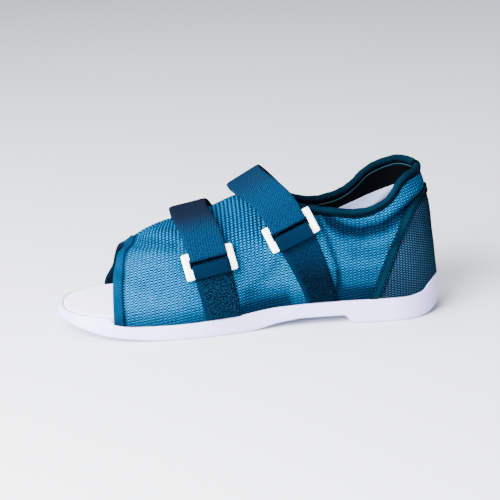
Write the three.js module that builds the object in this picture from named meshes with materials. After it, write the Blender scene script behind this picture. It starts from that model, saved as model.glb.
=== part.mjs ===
// Post operative shoe: an open-toed mesh upper on a rocker sole, closed by two webbing straps.
// Millimetres. +X runs to the toe, +Y to the shoe's left and +Z up.
// The origin is on the floor, in the middle of the flat under the heel.
import * as THREE from "three";
import { mergeVertices } from "three/addons/utils/BufferGeometryUtils.js";

// Sole
const SHOE_LENGTH = 262;
const HEEL_BACK = 36; // from the origin back to the end of the heel
const BALL_WIDTH = 94.2;
const HEEL_WIDTH = 70;
const HEEL_ROUND = 36; // length of the rounded back of the outline
const TOE_ROUND = 56; // length of the rounded front of the outline
const TOE_SPRING = 13; // height of the tip's underside over the floor
const ARCH_RISE = 6; // height of the step in front of the heel
const SIDE_HEIGHT = 16.5; // top of the side wall over the floor at the heel
const CUP_RISE = 9.5; // extra height of the side wall at the back of the heel
const FOOTBED_HEIGHT = 20.8; // top of the footbed's rim at the heel
const BOTTOM_ROUND = 1.8;
const POCKET_DEPTH = 3.6; // recess that the insole lies in
const POCKET_RIM = 2; // width of the rim between the upper and the recess
const TOE_RIM = 4.6; // width of the rounded rim round the open toe
const LEDGE_RUN = 1.4; // length over which the upper's ledge closes in front of the toe binding

// Insole
const INSOLE_THICKNESS = 3.6;
const INSOLE_ROUND = 0.9;

// Upper
const WALL = 2.2; // spacer mesh with its lining
const LIP_REVEAL = 0.9; // how far the side wall of the sole stands out past the upper
const GAP = 0.3; // between pieces that touch
const COLLAR_HEIGHT = 98; // edge of the upper at the back, under the padded roll
const INSTEP_HEIGHT = 88;
const COLLAR_BACK = 24.5; // from the origin back to the collar's edge
const COLLAR_BACK_ROUND = 24;
const THROAT_AT = 0.458 * SHOE_LENGTH; // front of the collar, from the back of the heel
const THROAT_ROUND = 34;
const COLLAR_HALF_NEAR = 30.5;
const COLLAR_HALF_FAR = 29.5;
const TOE_EDGE_AT = 0.855 * SHOE_LENGTH; // edge of the open toe at the sole, from the back of the heel
const TOE_EDGE_LEAN = 12; // how far that edge lies further back on the ridge
const LEAN_RUN = 68; // length of the vamp over which the lean fades out
const TOE_EDGE_FAR = 5.7; // how much further forward that edge starts on the far side
const LEAN_BEND_NEAR = 3; // exponent of the lean up a rib
const LEAN_BEND_FAR = 1.6;
const TURN_BACK_UP = 0.05; // where the far edge turns back, as a share of its rib
const TURN_BACK_RUN = 0.25;

// Bindings and tape
const BINDING_WIDTH = 7.5;
const BINDING_SWELL = 0.8; // how far the toe binding stands past the upper on each face
const ROLL_WIDTH = 5.6;
const ROLL_HEIGHT = 5.4;
const ROLL_SLACK = 0.5; // extra room where the roll turns round the throat
const TAPE_THICKNESS = 0.9;

// Straps, anchors and rings
const STRAP_WIDTH = 25.4;
const STRAP_THICKNESS = 1.4;
const STRAP_LAP = 1.8; // between the middles of the strap's two layers
const ANCHOR_THICKNESS = 1.6;
const RING_THICKNESS = 3;
const RING_HEIGHT = 18;
const RING_POST = 4.4;
const RING_BAR_TOP = 4.9;
const RING_BAR_LOW = 7.1;
const RING_CORNER = 1.3;
const RING_BEVEL = 0.4;
const RING_SLACK = 1; // window of the ring, wider than the strap
const RING_WINDOW = STRAP_WIDTH + RING_SLACK;
const LOOP_SLACK = 0.2; // extra room of a loop round a bar of the ring

// Half width of the sole, as shares of the heel's and the ball's width
const OUTLINE = [
  { at: 0.0, heel: 0.472, ball: 0 },
  { at: 0.15, heel: 0.5, ball: 0 },
  { at: 0.29, heel: 0.493, ball: 0 },
  { at: 0.42, heel: 0.502, ball: 0 },
  { at: 0.57, heel: 0, ball: 0.452 },
  { at: 0.72, heel: 0, ball: 0.5 },
  { at: 0.82, heel: 0, ball: 0.493 },
  { at: 1.0, heel: 0, ball: 0.466 },
];
const HEEL_SQUARENESS = 2.2; // exponent of the superellipse round the heel
const TOE_SQUARENESS = 2.34;

// Underside of the sole, as shares of the arch step and of the toe spring
const UNDERSIDE = [
  { at: 0.0, arch: 0.66, spring: 0 },
  { at: 0.038, arch: 0.17, spring: 0 },
  { at: 0.076, arch: 0, spring: 0 },
  { at: 0.237, arch: 0, spring: 0 },
  { at: 0.263, arch: 1, spring: 0 },
  { at: 0.363, arch: 1, spring: 0 },
  { at: 0.428, arch: 0.67, spring: 0 },
  { at: 0.489, arch: 0.13, spring: 0 },
  { at: 0.52, arch: 0, spring: 0 },
  { at: 0.706, arch: 0, spring: 0 },
  { at: 0.763, arch: 0, spring: 0.06 },
  { at: 0.859, arch: 0, spring: 0.27 },
  { at: 0.954, arch: 0, spring: 0.72 },
  { at: 1.0, arch: 0, spring: 1 },
];

// Top of the side wall and of the footbed's rim, as shares of their heights at the heel,
// with the heel cup's share of its own rise
const SIDE_TOP = [
  { at: 0.0, side: 1, cup: 1, bed: 1 },
  { at: 0.03, side: 1, cup: 0.68, bed: 1 },
  { at: 0.055, side: 1, cup: 0.16, bed: 1 },
  { at: 0.1, side: 1, cup: 0, bed: 1 },
  { at: 0.3, side: 0.99, cup: 0, bed: 0.99 },
  { at: 0.42, side: 0.925, cup: 0, bed: 0.92 },
  { at: 0.57, side: 0.71, cup: 0, bed: 0.79 },
  { at: 0.72, side: 0.645, cup: 0, bed: 0.75 },
  { at: 0.81, side: 0.66, cup: 0, bed: 0.79 },
  { at: 0.86, side: 0.765, cup: 0, bed: 0.815 },
  { at: 0.95, side: 0.79, cup: 0, bed: 0.835 },
  { at: 1.0, side: 0.91, cup: 0, bed: 0.845 },
];

// Height of the ridge over the vamp, as a share of the instep height
const RIDGE = [
  { at: 0.42, height: 0.982 },
  { at: 0.458, height: 0.995 },
  { at: 0.48, height: 0.998 },
  { at: 0.51, height: 0.98 },
  { at: 0.542, height: 0.95 },
  { at: 0.572, height: 0.91 },
  { at: 0.603, height: 0.868 },
  { at: 0.641, height: 0.842 },
  { at: 0.679, height: 0.814 },
  { at: 0.71, height: 0.788 },
  { at: 0.74, height: 0.754 },
  { at: 0.771, height: 0.708 },
  { at: 0.81, height: 0.646 },
  { at: 0.86, height: 0.61 },
];

// Height of the collar's edge on each side, as a share of the collar height
const COLLAR = [
  { at: 0.061, near: 1.0, far: 1.0 },
  { at: 0.084, near: 0.99, far: 0.993 },
  { at: 0.103, near: 0.955, far: 0.978 },
  { at: 0.118, near: 0.898, far: 0.967 },
  { at: 0.137, near: 0.838, far: 0.949 },
  { at: 0.168, near: 0.786, far: 0.903 },
  { at: 0.198, near: 0.762, far: 0.827 },
  { at: 0.229, near: 0.755, far: 0.771 },
  { at: 0.263, near: 0.767, far: 0.737 },
  { at: 0.309, near: 0.785, far: 0.719 },
  { at: 0.355, near: 0.806, far: 0.737 },
  { at: 0.4, near: 0.842, far: 0.796 },
  { at: 0.437, near: 0.878, far: 0.868 },
  { at: 0.458, near: 0.893, far: 0.893 },
];

// Shape of a rib of the upper between the sole and its end. "out" and "reach" are shares of the
// way across, "rise" and "drop" shares of the height: the two handles of one Bezier curve.
const RIBS = [
  { at: 0.0, out: 0.16, rise: 0.42, reach: 0.52, drop: 0.17 },
  { at: 0.137, out: -0.2, rise: 0.35, reach: 0.5, drop: 0.22 },
  { at: 0.275, out: -0.15, rise: 0.38, reach: 0.45, drop: 0.26 },
  { at: 0.382, out: 0, rise: 0.46, reach: 0.4, drop: 0.18 },
  { at: 0.458, out: 0.01, rise: 0.54, reach: 0.56, drop: 0 },
  { at: 0.573, out: 0, rise: 0.56, reach: 0.57, drop: 0 },
  { at: 0.725, out: -0.02, rise: 0.58, reach: 0.56, drop: 0 },
  { at: 0.855, out: -0.02, rise: 0.56, reach: 0.49, drop: 0 },
];

// Both edges of the counter tape: along the foot of the upper from the back of the heel, as a
// share of the length, and up, as a share of the collar height
const COUNTER_TAPE = [
  { front: 0.275, frontUp: 0.172, back: 0.25, backUp: 0.172 },
  { front: 0.262, frontUp: 0.24, back: 0.238, backUp: 0.215 },
  { front: 0.236, frontUp: 0.42, back: 0.214, backUp: 0.39 },
  { front: 0.209, frontUp: 0.58, back: 0.19, backUp: 0.54 },
  { front: 0.178, frontUp: 0.72, back: 0.157, backUp: 0.69 },
  { front: 0.112, frontUp: 0.843, back: 0.1, backUp: 0.797 },
  { front: 0.0, frontUp: 0.885, back: 0.0, backUp: 0.83 },
];

// Strap settings. "tilt" is the slope of the strap across the instep and "lean" that of the ring,
// in degrees. "at" is the ring's place from the back of the heel as a share of the length and "up"
// its height as a share of the instep height. "drift" is how far the crown lies in front of the
// ring and "stand" how far it stands off the upper, in millimetres. "clear" lifts the ring off the
// wall. "foot" is the place of the anchor's lower end and "footWidth" its width there, as shares of
// the length and of the strap. "farTop" is the share of the far wall that the strap follows, and
// "farBulge" and "nearBulge" are how far its arch swells past each wall, in millimetres.
const STRAPS = [
  {
    name: "front", tilt: 12, lean: 13, at: 0.606, up: 0.558, drift: 5, stand: 4.6, clear: 0,
    foot: 0.577, footWidth: 0.95, farTop: 0.5, farBulge: 1, nearBulge: 0,
  },
  {
    name: "rear", tilt: 30, lean: 25, at: 0.392, up: 0.765, drift: 9, stand: 11, clear: 1.2,
    foot: 0.32, footWidth: 0.84, farTop: 0.42, farBulge: 9, nearBulge: 3,
  },
];
const STRAP_HANDLE_UP = 0.4; // Bezier handles of the strap's arch, as shares of its size
const STRAP_HANDLE_ACROSS = 0.58;
const LOOP_SQUARENESS = 0.66; // exponent of the superellipse of a loop round a bar
const STRAP_END_UP = 0.34; // where the strap's loose end lies on the far wall, as a share of the rib
const STRAP_START_UP = 0.03; // where it starts on the far wall
const STRAP_LEAVES = 2; // how far past the ring its arch starts
const FOLD_OVER = 5.1; // from the window of the ring down to the middle of the anchor's turned-over end
const FOLD_SINK = 0.1; // how much closer that end lies to the anchor below it, as a share
const FOLD_PAST = 0.6; // how far it ends past the ring
const ANCHOR_FOOT_UP = 1.2; // from the top of the sole's side wall up to the anchor
const ANCHOR_SWEEP = 1.25; // exponent of the anchor's swing from its foot to the ring
const ANCHOR_LEAVES = 1; // how far below the ring it leaves the wall

const SIDES = { near: 1, far: -1 };

// Smooth curve through a table, without overshoot between its rows
function smooth(table, column, at) {
  const last = table.length - 1;
  const place = Math.min(Math.max(at, table[0].at), table[last].at);
  let row = 0;
  while (row < last - 1 && place > table[row + 1].at) {
    row += 1;
  }
  const slope = (k) => (table[k + 1][column] - table[k][column]) / (table[k + 1].at - table[k].at);
  const knot = (k) => {
    if (k === 0 || k === last) {
      return 0;
    }
    const before = slope(k - 1);
    const after = slope(k);
    return before * after <= 0 ? 0 : (2 * before * after) / (before + after);
  };
  const step = table[row + 1].at - table[row].at;
  const t = (place - table[row].at) / step;
  const a = table[row][column];
  const b = table[row + 1][column];
  return (
    a * (1 + 2 * t) * (1 - t) ** 2 +
    knot(row) * step * t * (1 - t) ** 2 +
    b * t * t * (3 - 2 * t) +
    knot(row + 1) * step * t * t * (t - 1)
  );
}

const share = (s) => s / SHOE_LENGTH;
const mix = (a, b, t) => a + (b - a) * t;
const ease = (t) => THREE.MathUtils.smoothstep(t, 0, 1);
const vec = (x, y, z) => new THREE.Vector3(x, y, z);

function undersideHeight(s) {
  const at = share(s);
  return ARCH_RISE * smooth(UNDERSIDE, "arch", at) + TOE_SPRING * smooth(UNDERSIDE, "spring", at);
}

function sideHeight(s) {
  const at = share(s);
  return SIDE_HEIGHT * smooth(SIDE_TOP, "side", at) + CUP_RISE * smooth(SIDE_TOP, "cup", at);
}

function bedHeight(s) {
  return FOOTBED_HEIGHT * smooth(SIDE_TOP, "bed", share(s));
}

// The outline's place runs 0 to 1 round the heel, 1 to 2 along the side and 2 to 3 round the toe.
// Below 0 and above 3 it carries on along the other side.
function outline(place) {
  if (place < 0 || place > 3) {
    const other = outline(place < 0 ? -place : 6 - place);
    return { ...other, y: -other.y };
  }
  const side = SHOE_LENGTH - HEEL_ROUND - TOE_ROUND;
  let s = HEEL_ROUND + side * (place - 1);
  let taper = 1;
  if (place < 1) {
    const turn = (Math.PI / 2) * (1 - place);
    s = HEEL_ROUND * (1 - Math.sin(turn) ** (2 / HEEL_SQUARENESS));
    taper = Math.cos(turn) ** (2 / HEEL_SQUARENESS);
  }
  if (place > 2) {
    const turn = (Math.PI / 2) * (place - 2);
    s = SHOE_LENGTH - TOE_ROUND * (1 - Math.sin(turn) ** (2 / TOE_SQUARENESS));
    taper = Math.max(Math.cos(turn), 0) ** (2 / TOE_SQUARENESS);
  }
  const at = share(s);
  const half = HEEL_WIDTH * smooth(OUTLINE, "heel", at) + BALL_WIDTH * smooth(OUTLINE, "ball", at);
  return { s, x: s - HEEL_BACK, y: half * taper };
}

// Place on the outline for a distance from the back of the heel
function placeOf(s) {
  if (s < HEEL_ROUND) {
    return 1 - Math.asin((1 - s / HEEL_ROUND) ** (HEEL_SQUARENESS / 2)) / (Math.PI / 2);
  }
  const toeStart = SHOE_LENGTH - TOE_ROUND;
  if (s > toeStart) {
    return 2 + Math.asin(((s - toeStart) / TOE_ROUND) ** (TOE_SQUARENESS / 2)) / (Math.PI / 2);
  }
  return 1 + (s - HEEL_ROUND) / (toeStart - HEEL_ROUND);
}

// Point of the outline moved inwards, square to the outline
function insetPoint(place, inset) {
  const step = 0.004;
  const here = outline(place);
  const before = outline(place - step);
  const after = outline(place + step);
  const across = new THREE.Vector2(after.y - before.y, before.x - after.x).normalize();
  return { s: here.s, x: here.x + across.x * inset, y: here.y + across.y * inset };
}

// One closed body from points and triangles, with its faces turned outwards
function closedMesh(name, points, triangles, material) {
  const geometry = new THREE.BufferGeometry();
  geometry.setAttribute(
    "position",
    new THREE.Float32BufferAttribute(points.flatMap((p) => [p.x, p.y, p.z]), 3),
  );
  geometry.setIndex(triangles.flat());
  const merged = mergeVertices(geometry, 1e-4);
  const index = Array.from(merged.index.array);
  const kept = [];
  for (let k = 0; k < index.length; k += 3) {
    const [a, b, c] = index.slice(k, k + 3);
    if (a !== b && b !== c && a !== c) {
      kept.push([a, b, c]);
    }
  }
  const position = merged.getAttribute("position");
  const corner = (k) => new THREE.Vector3().fromBufferAttribute(position, k);
  const volume = kept.reduce(
    (sum, [a, b, c]) => sum + corner(a).dot(corner(b).cross(corner(c))),
    0,
  );
  merged.setIndex((volume < 0 ? kept.map(([a, b, c]) => [a, c, b]) : kept).flat());
  merged.computeVertexNormals();
  const mesh = new THREE.Mesh(merged, material);
  mesh.name = name;
  return mesh;
}

// Stack of closed outlines, each mirrored about the middle, closed by strips across
function stackedMesh(name, rings, material) {
  const count = rings[0].length;
  const points = rings.flat();
  const triangles = [];
  for (let r = 0; r + 1 < rings.length; r += 1) {
    for (let k = 0; k < count; k += 1) {
      const next = (k + 1) % count;
      const under = r * count;
      const over = under + count;
      triangles.push([under + k, under + next, over + next], [under + k, over + next, over + k]);
    }
  }
  const top = (rings.length - 1) * count;
  for (let k = 0; k < count / 2; k += 1) {
    const [a, b, c, d] = [k, k + 1, (count - k - 1) % count, (count - k) % count];
    triangles.push([a, c, b], [a, d, c]);
    triangles.push([top + a, top + b, top + c], [top + a, top + c, top + d]);
  }
  return closedMesh(name, points, triangles, material);
}

// Solid between an outer and an inner grid of points, closed along all four edges
function wallMesh(name, outer, inner, material) {
  const rows = outer.length;
  const columns = outer[0].length;
  const points = [...outer.flat(), ...inner.flat()];
  const top = (i, j) => i * columns + j;
  const under = (i, j) => rows * columns + i * columns + j;
  const triangles = [];
  const quad = (a, b, c, d) => triangles.push([a, b, c], [a, c, d]);
  for (let i = 0; i + 1 < rows; i += 1) {
    for (let j = 0; j + 1 < columns; j += 1) {
      quad(top(i, j), top(i + 1, j), top(i + 1, j + 1), top(i, j + 1));
      quad(under(i, j), under(i, j + 1), under(i + 1, j + 1), under(i + 1, j));
    }
    const end = columns - 1;
    quad(top(i, 0), under(i, 0), under(i + 1, 0), top(i + 1, 0));
    quad(top(i, end), top(i + 1, end), under(i + 1, end), under(i, end));
  }
  for (let j = 0; j + 1 < columns; j += 1) {
    quad(top(0, j), top(0, j + 1), under(0, j + 1), under(0, j));
    quad(top(rows - 1, j), under(rows - 1, j), under(rows - 1, j + 1), top(rows - 1, j + 1));
  }
  return closedMesh(name, points, triangles, material);
}

// Sheet of even thickness about a grid of points
function sheetMesh(name, grid, thickness, material) {
  const rows = grid.length;
  const columns = grid[0].length;
  const normal = (i, j) => {
    const along = grid[Math.min(i + 1, rows - 1)][j].clone().sub(grid[Math.max(i - 1, 0)][j]);
    const across = grid[i][Math.min(j + 1, columns - 1)].clone().sub(grid[i][Math.max(j - 1, 0)]);
    return along.cross(across).normalize();
  };
  const shifted = (amount) =>
    grid.map((row, i) => row.map((p, j) => p.clone().addScaledVector(normal(i, j), amount)));
  return wallMesh(name, shifted(thickness / 2), shifted(-thickness / 2), material);
}

// Places round the heel that every piece on the outline shares
const HEEL_STEPS = 9;
const heelPlaces = () => Array.from({ length: HEEL_STEPS }, (_, k) => k / HEEL_STEPS);

// Outline of the sole's rings: dense round heel and toe, with rows at the steps of the underside
function solePlaces() {
  const toeSteps = 11;
  const longestStride = 11;
  const toeStart = SHOE_LENGTH - TOE_ROUND;
  const toe = Array.from({ length: toeSteps }, (_, k) => 2 + k / toeSteps);
  const steps = UNDERSIDE.map((row) => row.at * SHOE_LENGTH);
  const rows = steps.filter((s) => s > HEEL_ROUND && s < toeStart);
  const stops = [HEEL_ROUND, ...rows, toeStart];
  const side = stops.slice(0, -1).flatMap((start, k) => {
    const run = stops[k + 1] - start;
    const parts = Math.ceil(run / longestStride);
    return Array.from({ length: parts }, (_, n) => placeOf(start + (run * n) / parts));
  });
  const edges = [TOE_EDGE_AT + GAP, TOE_EDGE_AT + TOE_EDGE_FAR + GAP];
  const ledgeEnd = edges.flatMap((s) => [s, s + LEDGE_RUN]).map(placeOf);
  const front = [...toe, ...ledgeEnd].sort((a, b) => a - b);
  const near = [...heelPlaces(), ...side, ...front, 3];
  const far = near.slice(1, -1).reverse().map((place) => 6 - place);
  return [...near, ...far];
}

const LEDGE = LIP_REVEAL + WALL + BINDING_SWELL + GAP;

// 1 where the upper stands on the sole and 0 round the open toe
function underUpper(place) {
  const edge = TOE_EDGE_AT + (place > 3 ? TOE_EDGE_FAR : 0);
  return 1 - ease((outline(place).s - edge - GAP) / LEDGE_RUN);
}

function outsole(material) {
  const places = solePlaces();
  const ring = (level) =>
    places.map((place) => {
      const { s } = outline(place);
      const bottom = undersideHeight(s);
      const side = sideHeight(s);
      const bed = bedHeight(s);
      const { inset, z } = level({ bottom, side, bed, worn: underUpper(place) });
      const point = insetPoint(place, inset);
      return vec(point.x, point.y, z);
    });
  const rings = [
    ring(({ bottom }) => ({ inset: BOTTOM_ROUND, z: bottom })),
    ring(({ bottom, side }) => ({ inset: 0.25 * BOTTOM_ROUND, z: mix(bottom, side, 0.16) })),
    ring(({ bottom, side }) => ({ inset: 0, z: mix(bottom, side, 0.6) })),
    ring(({ side }) => ({ inset: 0.1 * BOTTOM_ROUND, z: side })),
    ring(({ side, bed, worn }) => ({
      inset: mix(0.22 * TOE_RIM, LEDGE, worn),
      z: mix(mix(side, bed, 0.55), side, worn),
    })),
    ring(({ side, bed, worn }) => ({
      inset: mix(0.5 * TOE_RIM, LEDGE, worn),
      z: mix(mix(side, bed, 0.85), bed - INSOLE_ROUND, worn),
    })),
    ring(({ bed, worn }) => ({ inset: mix(0.85 * TOE_RIM, LEDGE + INSOLE_ROUND, worn), z: bed })),
    ring(({ bed, worn }) => ({ inset: mix(TOE_RIM, LEDGE + POCKET_RIM, worn), z: bed })),
    ring(({ bed, worn }) => ({ inset: mix(TOE_RIM, LEDGE + POCKET_RIM, worn), z: bed - POCKET_DEPTH })),
  ];
  return stackedMesh("outsole", rings, material);
}

function insole(material) {
  const places = solePlaces();
  const ring = (inset, height) =>
    places.map((place) => {
      const { s } = outline(place);
      const rim = mix(TOE_RIM, LEDGE + POCKET_RIM, underUpper(place));
      const point = insetPoint(place, rim + GAP + inset);
      return vec(point.x, point.y, bedHeight(s) - POCKET_DEPTH + GAP + height);
    });
  const rings = [
    ring(0, 0),
    ring(0, INSOLE_THICKNESS - INSOLE_ROUND),
    ring(INSOLE_ROUND, INSOLE_THICKNESS),
  ];
  return stackedMesh("insole", rings, material);
}

// Edge of the collar, for a place along the outline and a side
function collarEdge(place, side) {
  const half = side === SIDES.near ? COLLAR_HALF_NEAR : COLLAR_HALF_FAR;
  const backStart = COLLAR_BACK_ROUND - COLLAR_BACK;
  let x = 0;
  let y = half;
  if (place < 1) {
    const turn = (Math.PI / 2) * (1 - place);
    x = backStart - COLLAR_BACK_ROUND * Math.sin(turn) ** (2 / HEEL_SQUARENESS);
    y = half * Math.cos(turn) ** (2 / HEEL_SQUARENESS);
  } else {
    const { s } = outline(place);
    const fade = Math.max(1 - (s - HEEL_ROUND) / COLLAR_BACK_ROUND, 0);
    x = s - HEEL_BACK + (backStart + HEEL_BACK - HEEL_ROUND) * fade ** 2;
    const front = Math.max((s - (THROAT_AT - THROAT_ROUND)) / THROAT_ROUND, 0);
    y = half * Math.sqrt(Math.max(1 - front * front, 0));
  }
  const column = side === SIDES.near ? "near" : "far";
  return vec(x, side * y, COLLAR_HEIGHT * smooth(COLLAR, column, share(x + HEEL_BACK)));
}

// Whether a rib meets its mirror image on the ridge instead of ending at the collar
function onRidge(s) {
  return s > THROAT_AT - 1e-6;
}

function ridgeHeight(x) {
  return INSTEP_HEIGHT * smooth(RIDGE, "height", share(x + HEEL_BACK));
}

// Point on the outer face of the upper. "along" runs 0 at the sole to 1 at the collar or ridge.
function upperPoint(side, place, along) {
  const far = side === SIDES.far;
  const near = insetPoint(place, LIP_REVEAL);
  const fade = ease((near.s - TOE_EDGE_AT + LEAN_RUN) / LEAN_RUN);
  const forward = far ? TOE_EDGE_FAR * fade : 0;
  const foot = forward > 0 ? insetPoint(placeOf(near.s + forward), LIP_REVEAL) : near;
  const start = vec(foot.x, side * foot.y, sideHeight(foot.s) + GAP);
  const lean = TOE_EDGE_LEAN * fade;
  const ridge = vec(foot.x, 0, ridgeHeight(near.x - lean));
  const end = onRidge(near.s) ? ridge : collarEdge(place, side);
  const at = share(near.s);
  const out = smooth(RIBS, "out", at);
  const reach = smooth(RIBS, "reach", at);
  const height = end.z - start.z;
  const low = start.clone().lerp(end, out);
  low.z = start.z + height * smooth(RIBS, "rise", at);
  const high = end.clone().lerp(start, reach);
  high.z = end.z - height * smooth(RIBS, "drop", at);
  const t = along;
  const point = start.multiplyScalar((1 - t) ** 3);
  point.addScaledVector(low, 3 * t * (1 - t) ** 2);
  point.addScaledVector(high, 3 * t * t * (1 - t));
  point.addScaledVector(end, t ** 3);
  point.x -= (foot.x - near.x) * ease((t - TURN_BACK_UP) / TURN_BACK_RUN);
  point.x -= lean * t ** (far ? LEAN_BEND_FAR : LEAN_BEND_NEAR);
  return point;
}

// Direction square to one half of the upper, from points close by
function halfNormal(side, place, along) {
  const step = 0.004;
  const low = Math.max(along - step, 0);
  const high = Math.min(along + step, 1);
  const up = upperPoint(side, place, high).sub(upperPoint(side, place, low));
  const before = place - step;
  const back = before < 0 ? upperPoint(-side, -before, along) : upperPoint(side, before, along);
  const forward = upperPoint(side, place + step, along).sub(back);
  return up.cross(forward).multiplyScalar(side).normalize();
}

// Outward direction of the upper, shared by both halves where they meet on the ridge
function upperNormal(side, place, along) {
  const normal = halfNormal(side, place, along);
  if (along === 1 && onRidge(outline(place).s)) {
    normal.add(halfNormal(-side, place, along)).setY(0).normalize();
  }
  return normal;
}

function upperSkin(side, place, along, offset) {
  return upperPoint(side, place, along).addScaledVector(upperNormal(side, place, along), offset);
}

const RIB_ROWS = 12;

// Places of the upper's ribs from the back of the heel to the toe, with the throat at one of them
function ribPlaces(end) {
  const heel = heelPlaces();
  const collar = Array.from({ length: 12 }, (_, k) =>
    placeOf(HEEL_ROUND + (THROAT_AT - HEEL_ROUND) * Math.sin((Math.PI / 2) * (k / 12))),
  );
  const vamp = Array.from({ length: 13 }, (_, k) => placeOf(mix(THROAT_AT, end, k / 12)));
  return { places: [...heel, ...collar, ...vamp], throat: heel.length + collar.length };
}

function upper(material) {
  const { places, throat } = ribPlaces(TOE_EDGE_AT - BINDING_WIDTH - GAP);
  const last = places.length - 1;
  // Ribs in order from the near side of the toe, round the heel, to the far side of the toe
  const ribs = [
    ...places.map((place, k) => ({ place, k, side: SIDES.near })).reverse(),
    ...places.map((place, k) => ({ place, k, side: SIDES.far })).slice(1),
  ];
  const face = (offset) =>
    ribs.map(({ place, side }) =>
      Array.from({ length: RIB_ROWS + 1 }, (_, j) => upperSkin(side, place, j / RIB_ROWS, offset)),
    );
  const points = [...face(0).flat(), ...face(-WALL).flat()];
  const stride = RIB_ROWS + 1;
  const out = (i, j) => i * stride + j;
  const into = (i, j) => (ribs.length + i) * stride + j;
  const triangles = [];
  const quad = (a, b, c, d) => triangles.push([a, b, c], [a, c, d]);
  for (let i = 0; i + 1 < ribs.length; i += 1) {
    for (let j = 0; j < RIB_ROWS; j += 1) {
      quad(out(i, j), out(i + 1, j), out(i + 1, j + 1), out(i, j + 1));
      quad(into(i, j), into(i, j + 1), into(i + 1, j + 1), into(i + 1, j));
    }
    quad(out(i, 0), into(i, 0), into(i + 1, 0), out(i + 1, 0));
    if (ribs[i].k <= throat && ribs[i + 1].k <= throat) {
      quad(out(i, RIB_ROWS), out(i + 1, RIB_ROWS), into(i + 1, RIB_ROWS), into(i, RIB_ROWS));
    }
  }
  for (let j = 0; j < RIB_ROWS; j += 1) {
    quad(out(0, j), out(0, j + 1), into(0, j + 1), into(0, j));
    quad(out(2 * last, j), into(2 * last, j), into(2 * last, j + 1), out(2 * last, j + 1));
  }
  return closedMesh("upper", points, triangles, material);
}

// Binding folded round the edge of the open toe, thicker than the upper on both faces
function toeBinding(material) {
  const stations = [
    { back: BINDING_WIDTH, swell: 0.55 },
    { back: 0.82 * BINDING_WIDTH, swell: 1 },
    { back: 0.15 * BINDING_WIDTH, swell: 1 },
    { back: 0, swell: 0.2 },
  ];
  const path = Array.from({ length: 2 * RIB_ROWS + 1 }, (_, k) => ({
    side: k <= RIB_ROWS ? SIDES.near : SIDES.far,
    along: 1 - Math.abs(k - RIB_ROWS) / RIB_ROWS,
  }));
  const face = (sign) =>
    path.map(({ side, along }) =>
      stations.map(({ back, swell }) => {
        const offset = sign > 0 ? BINDING_SWELL * swell : -WALL - BINDING_SWELL * swell;
        return upperSkin(side, placeOf(TOE_EDGE_AT - back), along, offset);
      }),
    );
  return wallMesh("toe_binding", face(1), face(-1), material);
}

// Padded roll that runs round the whole collar
function collarRoll(material) {
  const { places, throat } = ribPlaces(TOE_EDGE_AT);
  const used = places.slice(0, throat + 1);
  const loop = [
    ...used.map((place) => ({ place, side: SIDES.near })),
    ...used.slice(1, -1).reverse().map((place) => ({ place, side: SIDES.far })),
  ];
  const edge = loop.map(({ place, side }) => upperPoint(side, place, 1));
  const count = loop.length;
  const turns = 8;
  const points = loop.flatMap(({ place, side }, k) => {
    const outward = upperNormal(side, place, 1);
    const run = edge[(k + 1) % count].clone().sub(edge[(k + count - 1) % count]).normalize();
    const up = run.clone().cross(outward).normalize();
    const across = up.clone().cross(run).normalize();
    const middle = edge[k].clone().addScaledVector(outward, -WALL / 2);
    middle.addScaledVector(up, ROLL_HEIGHT / 2 + GAP + ROLL_SLACK);
    return Array.from({ length: turns }, (_, j) => {
      const turn = (2 * Math.PI * j) / turns;
      return middle
        .clone()
        .addScaledVector(across, (ROLL_WIDTH / 2) * Math.cos(turn))
        .addScaledVector(up, (ROLL_HEIGHT / 2) * Math.sin(turn));
    });
  });
  const triangles = [];
  for (let k = 0; k < count; k += 1) {
    for (let j = 0; j < turns; j += 1) {
      const next = ((k + 1) % count) * turns;
      const here = k * turns;
      const side = (j + 1) % turns;
      triangles.push([here + j, next + j, next + side], [here + j, next + side, here + side]);
    }
  }
  return closedMesh("collar_roll", points, triangles, material);
}

// Height share along a rib where the upper reaches a height
function alongAtHeight(side, place, height) {
  let low = 0;
  let high = 1;
  for (let k = 0; k < 24; k += 1) {
    const middle = (low + high) / 2;
    if (upperPoint(side, place, middle).z < height) {
      low = middle;
    } else {
      high = middle;
    }
  }
  return (low + high) / 2;
}

// Place on the outline for a distance along it from the back of the heel
function placeByArc(arc) {
  const step = 0.01;
  let walked = 0;
  let place = 0;
  let here = outline(0);
  while (walked < arc) {
    const next = outline(place + step);
    const stride = Math.hypot(next.x - here.x, next.y - here.y);
    if (walked + stride > arc) {
      return place + (step * (arc - walked)) / stride;
    }
    walked += stride;
    place += step;
    here = next;
  }
  return place;
}

// Tape along the front edge of the heel counter, over both sides and round the back
function counterTape(material) {
  const rowsPerStep = 4;
  const table = COUNTER_TAPE.map((row, k) => ({ ...row, at: k }));
  const last = table.length - 1;
  const offset = GAP + TAPE_THICKNESS / 2;
  const half = (side) =>
    Array.from({ length: last * rowsPerStep + 1 }, (_, k) => {
      const at = k / rowsPerStep;
      return [0, 0.5, 1].map((part) => {
        const arc = SHOE_LENGTH * mix(smooth(table, "front", at), smooth(table, "back", at), part);
        const up = mix(smooth(table, "frontUp", at), smooth(table, "backUp", at), part);
        const place = placeByArc(arc);
        const along = alongAtHeight(side, place, COLLAR_HEIGHT * up);
        return upperSkin(side, place, along, offset);
      });
    });
  const grid = [...half(SIDES.near), ...half(SIDES.far).reverse().slice(1)];
  return sheetMesh("counter_tape", grid, TAPE_THICKNESS, material);
}

// Directions along and square to a slope down to the toe, in degrees
function slopeAxes(degrees) {
  const angle = THREE.MathUtils.degToRad(degrees);
  return {
    wide: vec(Math.cos(angle), 0, -Math.sin(angle)),
    up: vec(Math.sin(angle), 0, Math.cos(angle)),
  };
}

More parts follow.
